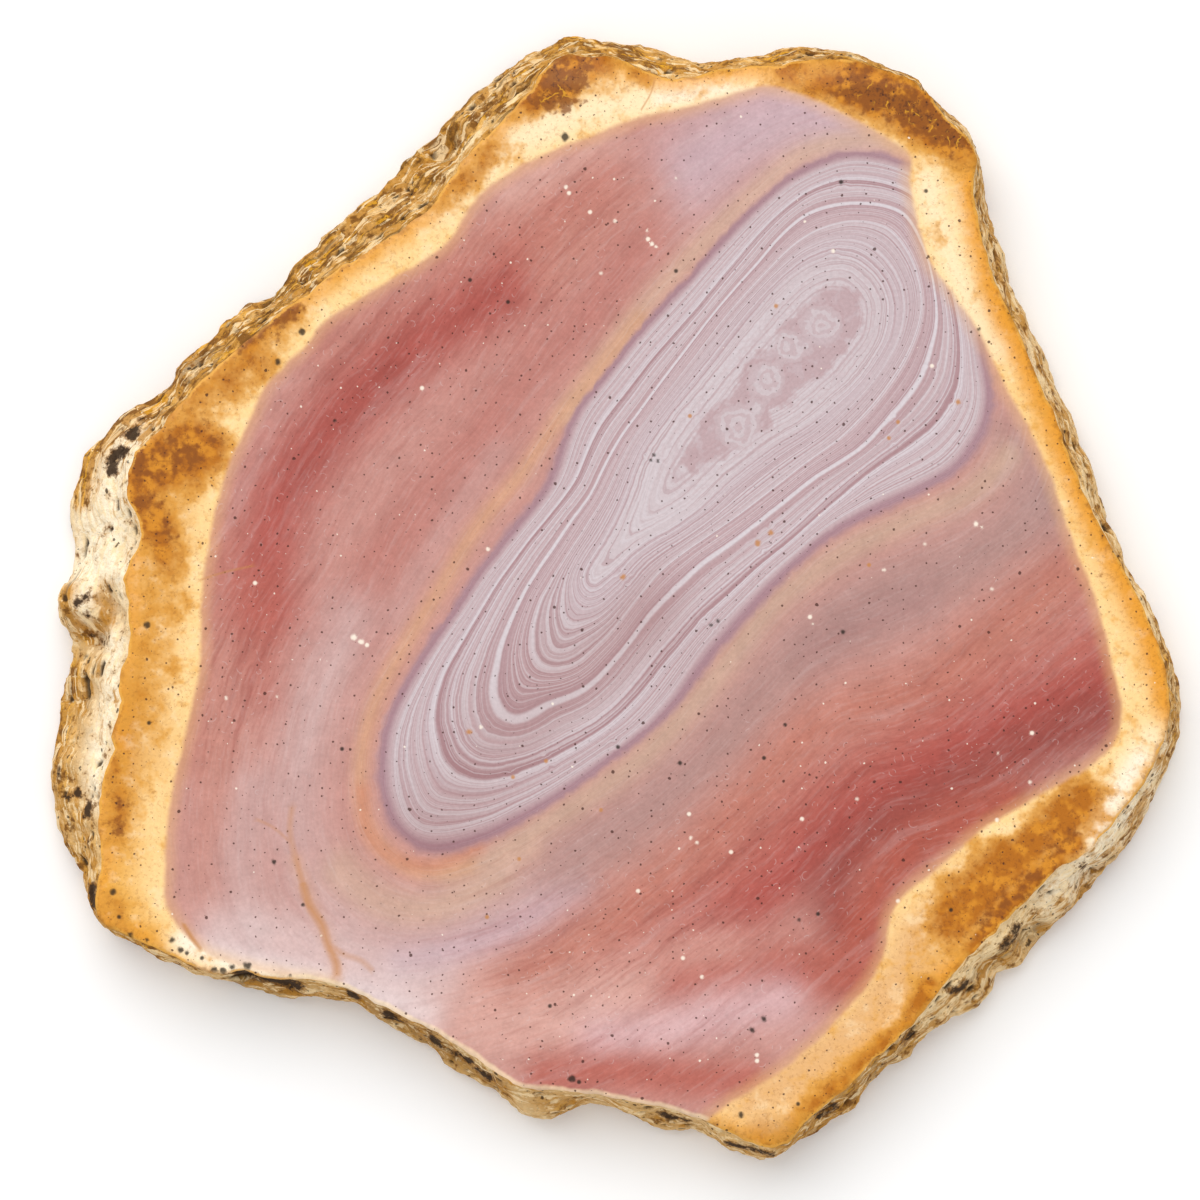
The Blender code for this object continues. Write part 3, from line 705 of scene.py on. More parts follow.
@dataclass
class RoughRind:
    """The grain, layers and pits of the rind, in millimetres.

    Attributes:
        lump_height: How far the coarse lumps stand out.
        lump_size: How wide they are.
        knob_height: How far the middling lumps stand out.
        knob_size: How wide they are.
        grain_height: How far the grains stand out.
        grain_size: How wide the grains are.
        pit_depth: How deep the pits go.
        pit_length: How far apart the pits lie along the rim.
        pit_width: How far apart they lie down the rind.
        layer_depth: How deep the layers of the upper left side are cut.
        layer_width: How wide each layer is.
        bend: How far the layers bend up and down.
        bend_size: How wide their bends are.
        rim_wander: How far the rim wanders from its drawn line.
        rim_size: How wide the rim's wanders are.
    """

    lump_height: float = 0.32
    lump_size: float = 2.4
    knob_height: float = 0.2
    knob_size: float = 1.0
    grain_height: float = 0.1
    grain_size: float = 0.42
    pit_depth: float = 0.5
    pit_length: float = 1.7
    pit_width: float = 1.25
    layer_depth: float = 0.12
    layer_width: float = 1.1
    bend: float = 0.8
    bend_size: float = 3.0
    rim_wander: float = 0.22
    rim_size: float = 1.3

    # So far apart, one noise gives two moves that have nothing to do with each other.
    APART = Vector((9.0, 4.0, 2.0))
    # The layers lie to the left of the first number and above the second.
    LAYERED_CORNER = (2.0, 14.0)
    RUSTINESS = (
        Wash(None, (-467, 199, -437, 229, -337, 309, -237, 389, -147, 489, -77, 549), 5.0, 0.95),
        Wash(None, (-541, 99, -532, 144, -499, 181, -467, 199), 1.2, 1.0),
        Wash(None, (-557, 9, -551, -26, -527, -41), 1.0, 0.8),
        Wash(None, (-513, 14, -507, -21), 0.8, 0.7),
        Wash(None, (-547, -71, -563, -141, -563, -201, -547, -261), 1.8, 0.75),
        Wash(None, (-537, -251, -522, -306, -487, -346, -437, -371), 1.8, 0.9),
        Wash(None, (-417, -376, -317, -396, -217, -431, -117, -491), 2.4, 0.55),
        Wash(None, (-57, -513, 83, -541, 143, -559), 2.2, 0.45),
        Wash(None, (173, -551, 243, -496, 313, -431, 383, -371, 423, -326), 2.2, 0.75),
        Wash(None, (443, -316, 493, -271, 533, -201, 563, -121), 1.6, 0.75),
        Wash(None, (563, -101, 523, -1, 473, 109, 423, 209, 383, 309, 368, 399, 348, 459), 2.2, 0.75),
        Wash(None, (-57, 559, 23, 544, 103, 531, 183, 547, 263, 537, 333, 489), 2.4, 1.0),
    )
    # Over how many millimetres the roughness sets in below the rim, and above the back.
    RIM_FADE = 0.9
    BACK_FADE = 1.1

    TINTS = (
        Wash(Tone.RIND_TAN, (-517, 149, -437, 229, -337, 309, -237, 389, -147, 489, -77, 549), 6.0, 0.8),
        Wash(Tone.WARM_CHALK, (-267, 364, -217, 399, -177, 439, -117, 509), 1.6, 0.5),
        Wash(Tone.RIND_GREY, (-432, 229, -417, 244), 1.8, 0.8),
        Wash(Tone.RIND_OCHRE, (-529, 149, -499, 181, -467, 199), 1.0, 0.75),
        Wash(Tone.CHALK, (-487, 159, -505, 109, -511, 59, -505, 24), 3.2, 0.95),
        Wash(Tone.CHALK, (-522, 79, -529, 39, -539, -1), 2.6, 0.95),
        Wash(Tone.RIND_OCHRE, (-513, 9, -513, -21), 1.0, 0.6),
        # Painted shade in a hollow of the rind.
        Wash(Tone.PIT_BROWN, (-533, -37, -520, -42), 0.8, 0.9),
        Wash(Tone.RIND_TAN, (-539, -71, -551, -141, -557, -201), 3.6, 0.75),
        Wash(Tone.CHALK, (-503, -41, -507, -101, -519, -151, -521, -201), 1.5, 0.95),
        Wash(Tone.RIND_OCHRE, (-549, 9, -555, -6, -551, -23), 0.7, 0.8),
        Wash(Tone.RIND_OCHRE, (-517, -1, -511, -9, -519, -27), 0.8, 0.7),
        Wash(Tone.RIND_BROWN, (-545, -91, -537, -103), 0.9, 0.6),
        Wash(Tone.RIND_TAN, (-545, -211, -532, -281), 2.0, 0.8),
        Wash(Tone.RIND_OCHRE, (-525, -306, -502, -336, -467, -353), 1.2, 0.8),
        # Painted shade in a hollow of the rind.
        Wash(Tone.PIT_BLACK, (-382, -379, -352, -386, -321, -391), 1.1, 0.85),
        Wash(Tone.RIND_TAN, (-307, -386, -257, -411, -187, -451, -117, -489), 2.6, 0.7),
        Wash(Tone.RIND_OCHRE, (-72, -503, -42, -509), 1.6, 0.7),
        Wash(Tone.RIND_TAN, (3, -513, 73, -536, 128, -556), 2.2, 0.7),
        Wash(Tone.RIND_BROWN, (173, -541, 233, -496, 288, -443), 1.4, 0.6),
        Wash(Tone.WARM_CHALK, (308, -411, 368, -366, 423, -321), 2.4, 0.95),
        Wash(Tone.CHALK, (443, -296, 488, -251, 528, -191), 2.4, 0.9),
        Wash(Tone.CHALK, (503, -231, 533, -186, 551, -146), 1.2, 0.6),
        Wash(Tone.RIND_TAN, (393, -366, 457, -319, 511, -259), 1.1, 0.6),
        # Painted shade in the hollows of the rind along here.
        Wash(Tone.PIT_BROWN, (351, -386, 379, -363, 407, -343, 427, -329), 0.6, 0.6),
        # A brown patch, with painted shade in the notch beside it.
        Wash(Tone.PIT_BROWN, (-192, 421, -177, 449, -165, 461), 1.0, 0.8),
        Wash(Tone.WARM_CHALK, (368, 399, 383, 309, 423, 209, 473, 99, 533, -21), 2.0, 0.4),
        Wash(Tone.CHALK, (403, 254, 415, 227), 0.9, 0.6),
        Wash(Tone.RIND_TAN, (-57, 551, 23, 537, 103, 531, 183, 541), 2.2, 0.8),
        Wash(Tone.RIND_BROWN, (-265, -396, -217, -426, -157, -463, -117, -489), 1.1, 0.6),
        Wash(Tone.WARM_CHALK, (-137, 494, -117, 519), 1.2, 0.7),
        Wash(Tone.WARM_CHALK, (-222, 394, -207, 409), 1.1, 0.7),
        Wash(Tone.WARM_CHALK, (-297, 344, -272, 364), 1.1, 0.7),
        Wash(Tone.WARM_CHALK, (-382, 294, -367, 304), 1.0, 0.6),
        Wash(Tone.RIND_BROWN, (203, 544, 263, 529, 323, 499), 1.8, 0.6),
    )

    # The heights between which the painted shade in the hollows comes in.
    HOLLOW_SHADE_HEIGHTS = (3.2, 5.6)
    # Painted shade: the rind's hollows are coloured dark brown and near black.
    HOLLOW_SHADES = (
        Wash(None, (-232, -416, -219, -427, -204, -437), 0.62),
        Wash(None, (-267, -395, -261, -399), 0.45),
        Wash(None, (-187, -441, -177, -451), 0.5),
        Wash(None, (-163, -457, -147, -464), 0.42),
        Wash(None, (-140, -473, -127, -482), 0.42),
        Wash(None, (45, -518, 73, -528), 0.42),
        Wash(None, (110, -545, 158, -557), 0.36, 0.7),
        Wash(None, (-508, 129, -503, 143, -496, 149), 0.75),
        Wash(None, (-487, 165, -484, 169), 0.7),
        Wash(None, (-480, 182, -479, 181), 0.45),
        Wash(None, (-542, -5, -540, -2), 0.5),
        Wash(None, (-532, 2, -531, 3), 0.4),
        Wash(None, (-533, -14, -531, -17), 0.35, 0.7),
        Wash(None, (-533, -37, -520, -42), 0.7),
        Wash(None, (-555, -199, -553, -200), 0.5),
        Wash(None, (-542, -194, -541, -196), 0.5),
        Wash(None, (-563, -174, -563, -184), 0.45),
        Wash(None, (-529, -206, -531, -216), 0.45),
        Wash(None, (-552, -226, -549, -233), 0.45),
        Wash(None, (-525, -289, -525, -307), 0.55),
        Wash(None, (-382, -371, -355, -381, -321, -389), 0.7, 0.9),
        Wash(None, (-185, 444, -165, 461), 0.7, 0.8),
        Wash(None, (338, -393, 349, -385), 0.55, 0.75),
        Wash(None, (388, -349, 395, -341, 399, -331), 0.75, 0.75),
        Wash(None, (413, -339, 417, -335), 0.7, 0.75),
        Wash(None, (288, -441, 295, -435), 0.5, 0.75),
        Wash(None, (203, -519, 219, -509), 0.5, 0.75),
        Wash(None, (466, -267, 470, -271), 0.5, 0.7),
    )

    def layered(self, places: np.ndarray) -> np.ndarray:
        """How much of the upper left side's layering there is at each place, from 0 to 1."""
        inside = np.minimum(self.LAYERED_CORNER[0] - places[:, 0], places[:, 1] - self.LAYERED_CORNER[1])
        return eased(inside, 0.0, 8.0)

    def pit_share(self, wrapped: np.ndarray) -> np.ndarray:
        """Finds the pits.

        Args:
            wrapped: Places round the rim and down the rind, as from wrap_round.

        Returns:
            How deep in a pit each place is, from 0 to 1.
        """
        stretch = np.array([1.0 / self.pit_length, 1.0 / self.pit_length, 1.0 / self.pit_width])
        found = []
        for spot in wrapped * stretch:
            distances, cells = noise.voronoi(Vector(spot))
            size = 0.5 + 0.5 * noise.noise(cells[0] * 3.7)
            deep = 1.0 if noise.noise(cells[0] * 5.3) > 0.02 else 0.25
            found.append(deep * min(max((0.16 + 0.42 * size - distances[0]) / 0.2, 0.0), 1.0))
        return np.array(found)

    def height(self, places: np.ndarray, wrapped: np.ndarray, pits: np.ndarray) -> np.ndarray:
        """Works out how far the rind's roughness moves it.

        Args:
            places: The places, one row each.
            wrapped: The same places round the rim and down the rind.
            pits: How deep in a pit each of them is.

        Returns:
            The moves in millimetres, out of the stone where above zero.
        """
        bumps = [
            self.lump_height * noise.noise(Vector(place) / self.lump_size)
            + self.knob_height * noise.noise(Vector(place) / self.knob_size)
            + self.grain_height * noise.noise(Vector(place) / self.grain_size)
            for place in places
        ]
        bends = [noise.noise(Vector(place) / self.bend_size) for place in places]
        phase = (wrapped[:, 2] + self.bend * np.array(bends)) / self.layer_width
        layers = self.layer_depth * np.sin(2 * math.pi * phase) * self.layered(places)
        return np.array(bumps) + layers - self.pit_depth * pits

    def wander(self, places: np.ndarray) -> np.ndarray:
        """The level moves that make the rim ragged, one row of two for each place."""
        spots = [Vector(place) / self.rim_size for place in places]
        rows = [(noise.noise(spot), noise.noise(spot + self.APART)) for spot in spots]
        return self.rim_wander * np.array(rows).reshape(-1, 2)


@dataclass
class Lattice:
    """The points through which the two flat surfaces are meshed, in millimetres.

    Attributes:
        field_spacing: How far apart they are in the colour fields and the cream band.
        eye_spacing: How far apart they are in the eye.
        mark_spacing: How far apart they are at small marks.
        back_spacing: How far apart they are on the sawn back.
        extent: How far out the rows of points go.
    """

    field_spacing: float = 0.64
    eye_spacing: float = 0.44
    mark_spacing: float = 0.14
    back_spacing: float = 1.2
    extent: float = 59.0

    # How far from a crack's middle its rows of points lie, in half widths.
    BESIDE = (-1.8, -0.9, 0.0, 0.9, 1.8)

    def rows(self, spacing: float) -> np.ndarray:
        """Lays points in rows, each row half a step beside the last one.

        Args:
            spacing: How far apart they are.

        Returns:
            The points, one row each.
        """
        steps = np.arange(-self.extent, self.extent, spacing)
        across, up = np.meshgrid(steps, steps * math.sqrt(0.75))
        shifted = across + 0.5 * spacing * (np.arange(len(up)) % 2)[:, None]
        return np.stack([shifted.ravel(), up.ravel()], axis=1)

    def round_mark(self, mark: Spot) -> np.ndarray:
        """Lays points in rings over a small mark and just round it.

        Args:
            mark: The mark.

        Returns:
            The points, one row each.
        """
        x, y, size = mark
        spots = [(x, y)]
        radius = self.mark_spacing
        while radius < size + 3 * self.mark_spacing:
            count = max(6, round(2 * math.pi * radius / self.mark_spacing))
            turns = 2 * math.pi * np.arange(count) / count
            spots += zip(x + radius * np.cos(turns), y + radius * np.sin(turns))
            radius += self.mark_spacing
        return np.array(spots)

    def beside_thread(self, thread: Thread) -> np.ndarray:
        """Lays points along a crack and on both its sides.

        Args:
            thread: The crack.

        Returns:
            The points, one row each.
        """
        path = Line(drawn(thread.course)).path()
        rows = []
        for start, end in zip(path[:-1], path[1:]):
            along = end - start
            length = float(np.hypot(*along))
            side = np.array([-along[1], along[0]]) / max(length, 1e-6)
            shares = np.arange(0.0, 1.0, self.mark_spacing / max(length, self.mark_spacing))
            for offset in self.BESIDE:
                rows.append(start + shares[:, None] * along + offset * thread.width * side)
        return np.vstack(rows)

    def face(self, rings: GrowthRings, fields: ColourFields) -> np.ndarray:
        """Chooses the points of the polished face.

        Args:
            rings: The stone's growth rings.
            fields: The stone's colour fields with their marks.

        Returns:
            The points, one row each.
        """
        marks = (*fields.DARK_MARKS, *fields.FLECKS, *fields.STAINS)
        crowd = [self.round_mark(mark) for mark in marks]
        crowd += [self.beside_thread(crack) for crack in fields.CRACKS]
        crowded = np.vstack(crowd)
        coarse, fine = self.rows(self.field_spacing), self.rows(self.eye_spacing)
        even = np.vstack([coarse[~rings.eye.inside(coarse)], fine[rings.eye.inside(fine)]])
        return np.vstack([crowded, clear_of(even, crowded, 1.5 * self.mark_spacing)])


def clear_of(places: np.ndarray, others: np.ndarray, clearance: float) -> np.ndarray:
    """Keeps the places that are far enough from all the others.

    Args:
        places: The places to choose from, one row each.
        others: The places that they have to keep away from.
        clearance: How far, in millimetres.

    Returns:
        The places that are kept.
    """
    nearest = nearest_of(places, others)[1]
    return places[nearest > clearance]


def nearest_of(places: np.ndarray, others: np.ndarray) -> tuple[np.ndarray, np.ndarray]:
    """Finds the nearest of the others for each place.

    Args:
        places: The places, one row each, of which the first two columns count.
        others: The places to look among.

    Returns:
        The numbers of the nearest ones, and how far away they are.
    """
    tree = kdtree.KDTree(len(others))
    for index, (x, y) in enumerate(others):
        tree.insert((x, y, 0.0), index)
    tree.balance()
    found = [tree.find((place[0], place[1], 0.0))[1:] for place in places]
    return np.array([index for index, _ in found]), np.array([away for _, away in found])


@dataclass
class JasperSlab:
    """The whole slab of stone: its mesh, the values its finishes read, and its finishes.

    Attributes:
        name: The piece's name.
        rind_cuts: How many cuts each edge of the rind gets.
        lattice: The points of the flat surfaces.
        rings: The stone's growth rings.
        fields: The stone's colour fields.
        island: The island in the eye's core.
        rind: The rind's roughness.
    """

    name: str = "jasper_slab"
    rind_cuts: int = 2
    lattice: Lattice = field(default_factory=Lattice)
    rings: GrowthRings = field(default_factory=GrowthRings)
    fields: ColourFields = field(default_factory=ColourFields)
    island: CoreIsland = field(default_factory=CoreIsland)
    rind: RoughRind = field(default_factory=RoughRind)

    # In millimetres: how far inner points keep off the rim, and how far down and along it is ragged.
    RIM_CLEARANCE = 0.3
    RIM_ZONE = 2.0
    RAGGED_REACH = 0.7
    RING_PASSES = 7

    def build(self) -> bpy.types.Object:
        """Builds the piece from the frame's solid.

        Returns:
            The piece, with its values but without its finishes.
        """
        source = bpy.data.objects[NODE]
        low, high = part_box(NODE)
        self.top = high.z / MM
        bm = bmesh.new()
        bm.from_mesh(source.data)
        bm.verts.layers.float.new("pit")
        bmesh.ops.remove_doubles(bm, verts=bm.verts, dist=1e-6)
        bmesh.ops.scale(bm, vec=Vector((1.0, 1.0, 1.0)) / MM, verts=bm.verts)
        self._sort_faces(bm)
        self._cut_rind(bm)
        self._fill_flat(bm, Region.FACE, self.lattice.face(self.rings, self.fields))
        self._fill_flat(bm, Region.BACK, self.lattice.rows(self.lattice.back_spacing))
        self._soften_rind(bm)
        rim = self._rim_loop(bm)
        self._roughen(bm, rim, np.array(low) / MM, np.array(high) / MM)
        mesh = bpy.data.meshes.new(self.name)
        self._keep_values(bm, mesh)
        bm.free()
        piece = bpy.data.objects.new(self.name, mesh)
        bpy.context.scene.collection.objects.link(piece)
        kinds = np.bincount([polygon.material_index for polygon in mesh.polygons])
        log.info("%s: %d triangles, by surface %s", self.name, len(mesh.polygons), kinds)
        return piece

    def _sort_faces(self, bm: bmesh.types.BMesh) -> None:
        """Gives each face the number of its kind of surface.

        Args:
            bm: The merged solid in millimetres.
        """
        for face in bm.faces:
            heights = [v.co.z for v in face.verts]
            if min(heights) > self.top - 1e-3:
                face.material_index = Region.FACE
            elif max(heights) < 1e-3:
                face.material_index = Region.BACK
            else:
                face.material_index = Region.RIND
            face.smooth = True

    def _cut_rind(self, bm: bmesh.types.BMesh) -> None:
        """Takes the flat surfaces off, and splits the rind's triangles into smaller ones.

        Args:
            bm: The merged solid with its faces sorted.
        """
        flat = [face for face in bm.faces if face.material_index != Region.RIND]
        bmesh.ops.delete(bm, geom=flat, context="FACES")
        bmesh.ops.subdivide_edges(bm, edges=bm.edges, cuts=self.rind_cuts, use_grid_fill=True)
        bmesh.ops.triangulate(bm, faces=[face for face in bm.faces if len(face.verts) > 3])

    def _fill_flat(self, bm: bmesh.types.BMesh, region: Region, points: np.ndarray) -> None:
        """Meshes a flat surface inside its rim.

        Args:
            bm: The mesh with the rind.
            region: Which flat surface.
            points: The points that it is meshed through, also some that aren't inside.
        """
        height = self.top if region is Region.FACE else 0.0
        open_edges = [
            edge for edge in bm.edges if edge.is_boundary and abs(edge.verts[0].co.z - height) < 1.0
        ]
        loop = self._follow(open_edges)
        rim = np.array([vertex.co[:2] for vertex in loop])
        inner = points[Line.along(rim).inside(points)]
        inner = clear_of(inner, rim, self.RIM_CLEARANCE)
        spots = [Vector(place) for place in np.vstack([rim, inner])]
        joins = [(index, (index + 1) % len(loop)) for index in range(len(loop))]
        places, _, triangles, origins = geometry.delaunay_2d_cdt(spots, joins, [], 1, 1e-5)[:4]
        vertices = [
            loop[origin[0]] if origin and origin[0] < len(loop) else bm.verts.new((*place, height))
            for place, origin in zip(places, origins)
        ]
        for corners in triangles:
            order = corners if region is Region.FACE else corners[::-1]
            face = bm.faces.new([vertices[corner] for corner in order])
            face.material_index = region
            face.smooth = True

    def _soften_rind(self, bm: bmesh.types.BMesh) -> None:
        """Takes the flat facets out of the rind.

        Args:
            bm: The refined mesh.
        """
        inner = self._inside_rind(bm)
        for _ in range(2):
            bmesh.ops.smooth_vert(
                bm, verts=inner, factor=0.5, use_axis_x=True, use_axis_y=True, use_axis_z=True
            )

    @staticmethod
    def _inside_rind(bm: bmesh.types.BMesh) -> list[bmesh.types.BMVert]:
        """The vertices that lie in the rind alone."""
        rind = Region.RIND
        return [v for v in bm.verts if all(face.material_index == rind for face in v.link_faces)]

    @staticmethod
    def _rim_loop(bm: bmesh.types.BMesh) -> np.ndarray:
        """Follows the rim of the polished face.

        Args:
            bm: The refined mesh.

        Returns:
            The rim's places in millimetres, in order, one row each.
        """
        face, rind = Region.FACE, Region.RIND
        rim = [
            edge for edge in bm.edges if {other.material_index for other in edge.link_faces} == {face, rind}
        ]
        return np.array([vertex.co[:2] for vertex in JasperSlab._follow(rim)])

    @staticmethod
    def _follow(edges: Sequence[bmesh.types.BMEdge]) -> list[bmesh.types.BMVert]:
        """Puts the vertices of a closed loop of edges in order.

        Args:
            edges: The edges, in any order.

        Returns:
            The vertices, in order round the loop.
        """
        joined = set(edges)
        edge = edges[0]
        loop = [edge.verts[0], edge.verts[1]]
        while True:
            edge = next(other for other in loop[-1].link_edges if other in joined and other is not edge)
            vertex = edge.other_vert(loop[-1])
            if vertex is loop[0]:
                return loop
            loop.append(vertex)

    @staticmethod
    def _wrap_round(places: np.ndarray, rim: np.ndarray, top: float) -> np.ndarray:
        """Gives each place its way round the rim, as a place on a circle, and its way down the rind.

        Args:
            places: The places in millimetres, one row of three each.
            rim: The rim's places in order.
            top: The height of the polished face.

        Returns:
            One row each: two sides of a circle as long as the rim, and the distance from the rim.
        """
        steps = np.linalg.norm(np.roll(rim, -1, axis=0) - rim, axis=1)
        turns = 2 * math.pi * np.concatenate([[0.0], np.cumsum(steps)[:-1]]) / steps.sum()
        radius = steps.sum() / (2 * math.pi)
        nearest, level = nearest_of(places, rim)
        angle = turns[nearest]
        down = np.hypot(level, top - places[:, 2])
        return np.stack([radius * np.cos(angle), radius * np.sin(angle), down], axis=1)

    def _roughen(self, bm: bmesh.types.BMesh, rim: np.ndarray, low: np.ndarray, high: np.ndarray) -> None:
        """Makes the rind rough and the rim ragged.

        Args:
            bm: The refined mesh, in millimetres.
            rim: The rim's places in order.
            low: The lowest corner of the frame's solid.
            high: Its highest corner.
        """
        bm.normal_update()
        bm.verts.ensure_lookup_table()
        rind = self._inside_rind(bm)
        places = np.array([vertex.co[:] for vertex in rind])
        normals = np.array([vertex.normal[:] for vertex in rind])
        wrapped = self._wrap_round(places, rim, self.top)
        pits = self.rind.pit_share(wrapped)
        fade = eased(wrapped[:, 2], 0.1, self.rind.RIM_FADE) * eased(places[:, 2], 0.0, self.rind.BACK_FADE)
        moves = (self.rind.height(places, wrapped, pits) * fade)[:, None] * normals
        pit_layer = bm.verts.layers.float["pit"]
        for vertex, move, pit in zip(rind, moves, pits * fade):
            vertex.co += Vector(move)
            vertex[pit_layer] = pit
        near = [v for v in bm.verts if v.co.z > self.top - self.RIM_ZONE]
        places = np.array([vertex.co[:] for vertex in near])
        to_rim = np.hypot(Line.along(rim).distance(places[:, :2]), self.top - places[:, 2])
        moves = self.rind.wander(places) * np.exp(-((to_rim / self.RAGGED_REACH) ** 2))[:, None]
        for vertex, (x, y) in zip(near, moves):
            vertex.co.x += x
            vertex.co.y += y
        for vertex in bm.verts:
            vertex.co = Vector([min(max(part, a), b) for part, a, b in zip(vertex.co, low, high)])

    def _keep_values(self, bm: bmesh.types.BMesh, mesh: bpy.types.Mesh) -> None:
        """Writes the mesh in metres, with the values that the finishes read.

        Args:
            bm: The finished mesh in millimetres.
            mesh: The piece's mesh, which is filled.
        """
        rim = self._rim_loop(bm)
        bm.verts.index_update()
        places = np.array([vertex.co[:] for vertex in bm.verts])
        level = places[:, :2]
        edges = np.array([[vertex.index for vertex in edge.verts] for edge in bm.edges])
        bmesh.ops.scale(bm, vec=Vector((MM, MM, MM)), verts=bm.verts)
        bm.to_mesh(mesh)
        fields = self.fields
        ring = self._relaxed(self.rings.level(level), edges, self.RING_PASSES)
        low_fade = eased(places[:, 2], *self.rind.HOLLOW_SHADE_HEIGHTS)
        numbers = {
            "ring": ring,
            "band_gap": fields.band_gap(level),
            "rim_gap": Line.along(rim).distance(level),
            "island_gap": self.island.gap(level),
            "cell_gap": self.island.cell_gap(level),
            "redness": fields.total(level, fields.REDNESS),
            "rust": fields.total(level, fields.RUST),
            "rust_brown": fields.total(level, fields.RUST_BROWN),
            "pale_rim": fields.total(level, fields.PALE_RIM),
            "eye_tail": fields.total(level, fields.EYE_TAIL),
            "dark_mark": fields.spots(level, fields.DARK_MARKS),
            "fleck": fields.spots(level, fields.FLECKS),
            "stain": fields.spots(level, fields.STAINS),
            "crack": fields.threads(level, fields.CRACKS),
            "layering": self.rind.layered(places),
            "rind_rust": fields.total(level, self.rind.RUSTINESS),
            # Where shade is painted into the rind's hollows.
            "hollow_shade": low_fade * fields.total(level, self.rind.HOLLOW_SHADES),
        }
        tints = {
            "field_tint": washed(level, Tone.DUSTY_ROSE, fields.FIELD),
            "band_tint": washed(level, Tone.CREAM, fields.BAND),
            "rind_tint": washed(level, Tone.RIND_BEIGE, self.rind.TINTS),
        }
        for kind, part, table in (("FLOAT", "value", numbers), ("FLOAT_COLOR", "color", tints)):
            for name, values in table.items():
                attribute = mesh.attributes.new(name, kind, "POINT")
                attribute.data.foreach_set(part, values.astype(np.float32).ravel())
        wrapped = mesh.attributes.new("round_rind", "FLOAT_VECTOR", "POINT")
        wrapped.data.foreach_set("vector", self._wrap_round(places, rim, self.top).ravel())

    @staticmethod
    def _relaxed(values: np.ndarray, edges: np.ndarray, times: int) -> np.ndarray:
        """Evens values with those of the neighbouring vertices.

        Args:
            values: One value for each vertex.
            edges: The vertices that each edge joins.
            times: How often the values are evened.

        Returns:
            The evened values.
        """
        count = np.bincount(edges.ravel(), minlength=len(values))
        for _ in range(times):
            total = np.bincount(edges[:, 0], values[edges[:, 1]], len(values))
            total += np.bincount(edges[:, 1], values[edges[:, 0]], len(values))
            values = 0.5 * values + 0.5 * total / np.maximum(count, 1)
        return values

    def dress(self, piece: bpy.types.Object) -> None:
        """Gives the piece its three finishes, in the order of Region.

        Args:
            piece: The piece, with the values that the finishes read.
        """
        effects = StoneEffects()
        for finish in (PolishedFinish(), RindFinish(), SawnFinish()):
            piece.data.materials.append(finish.material(effects))


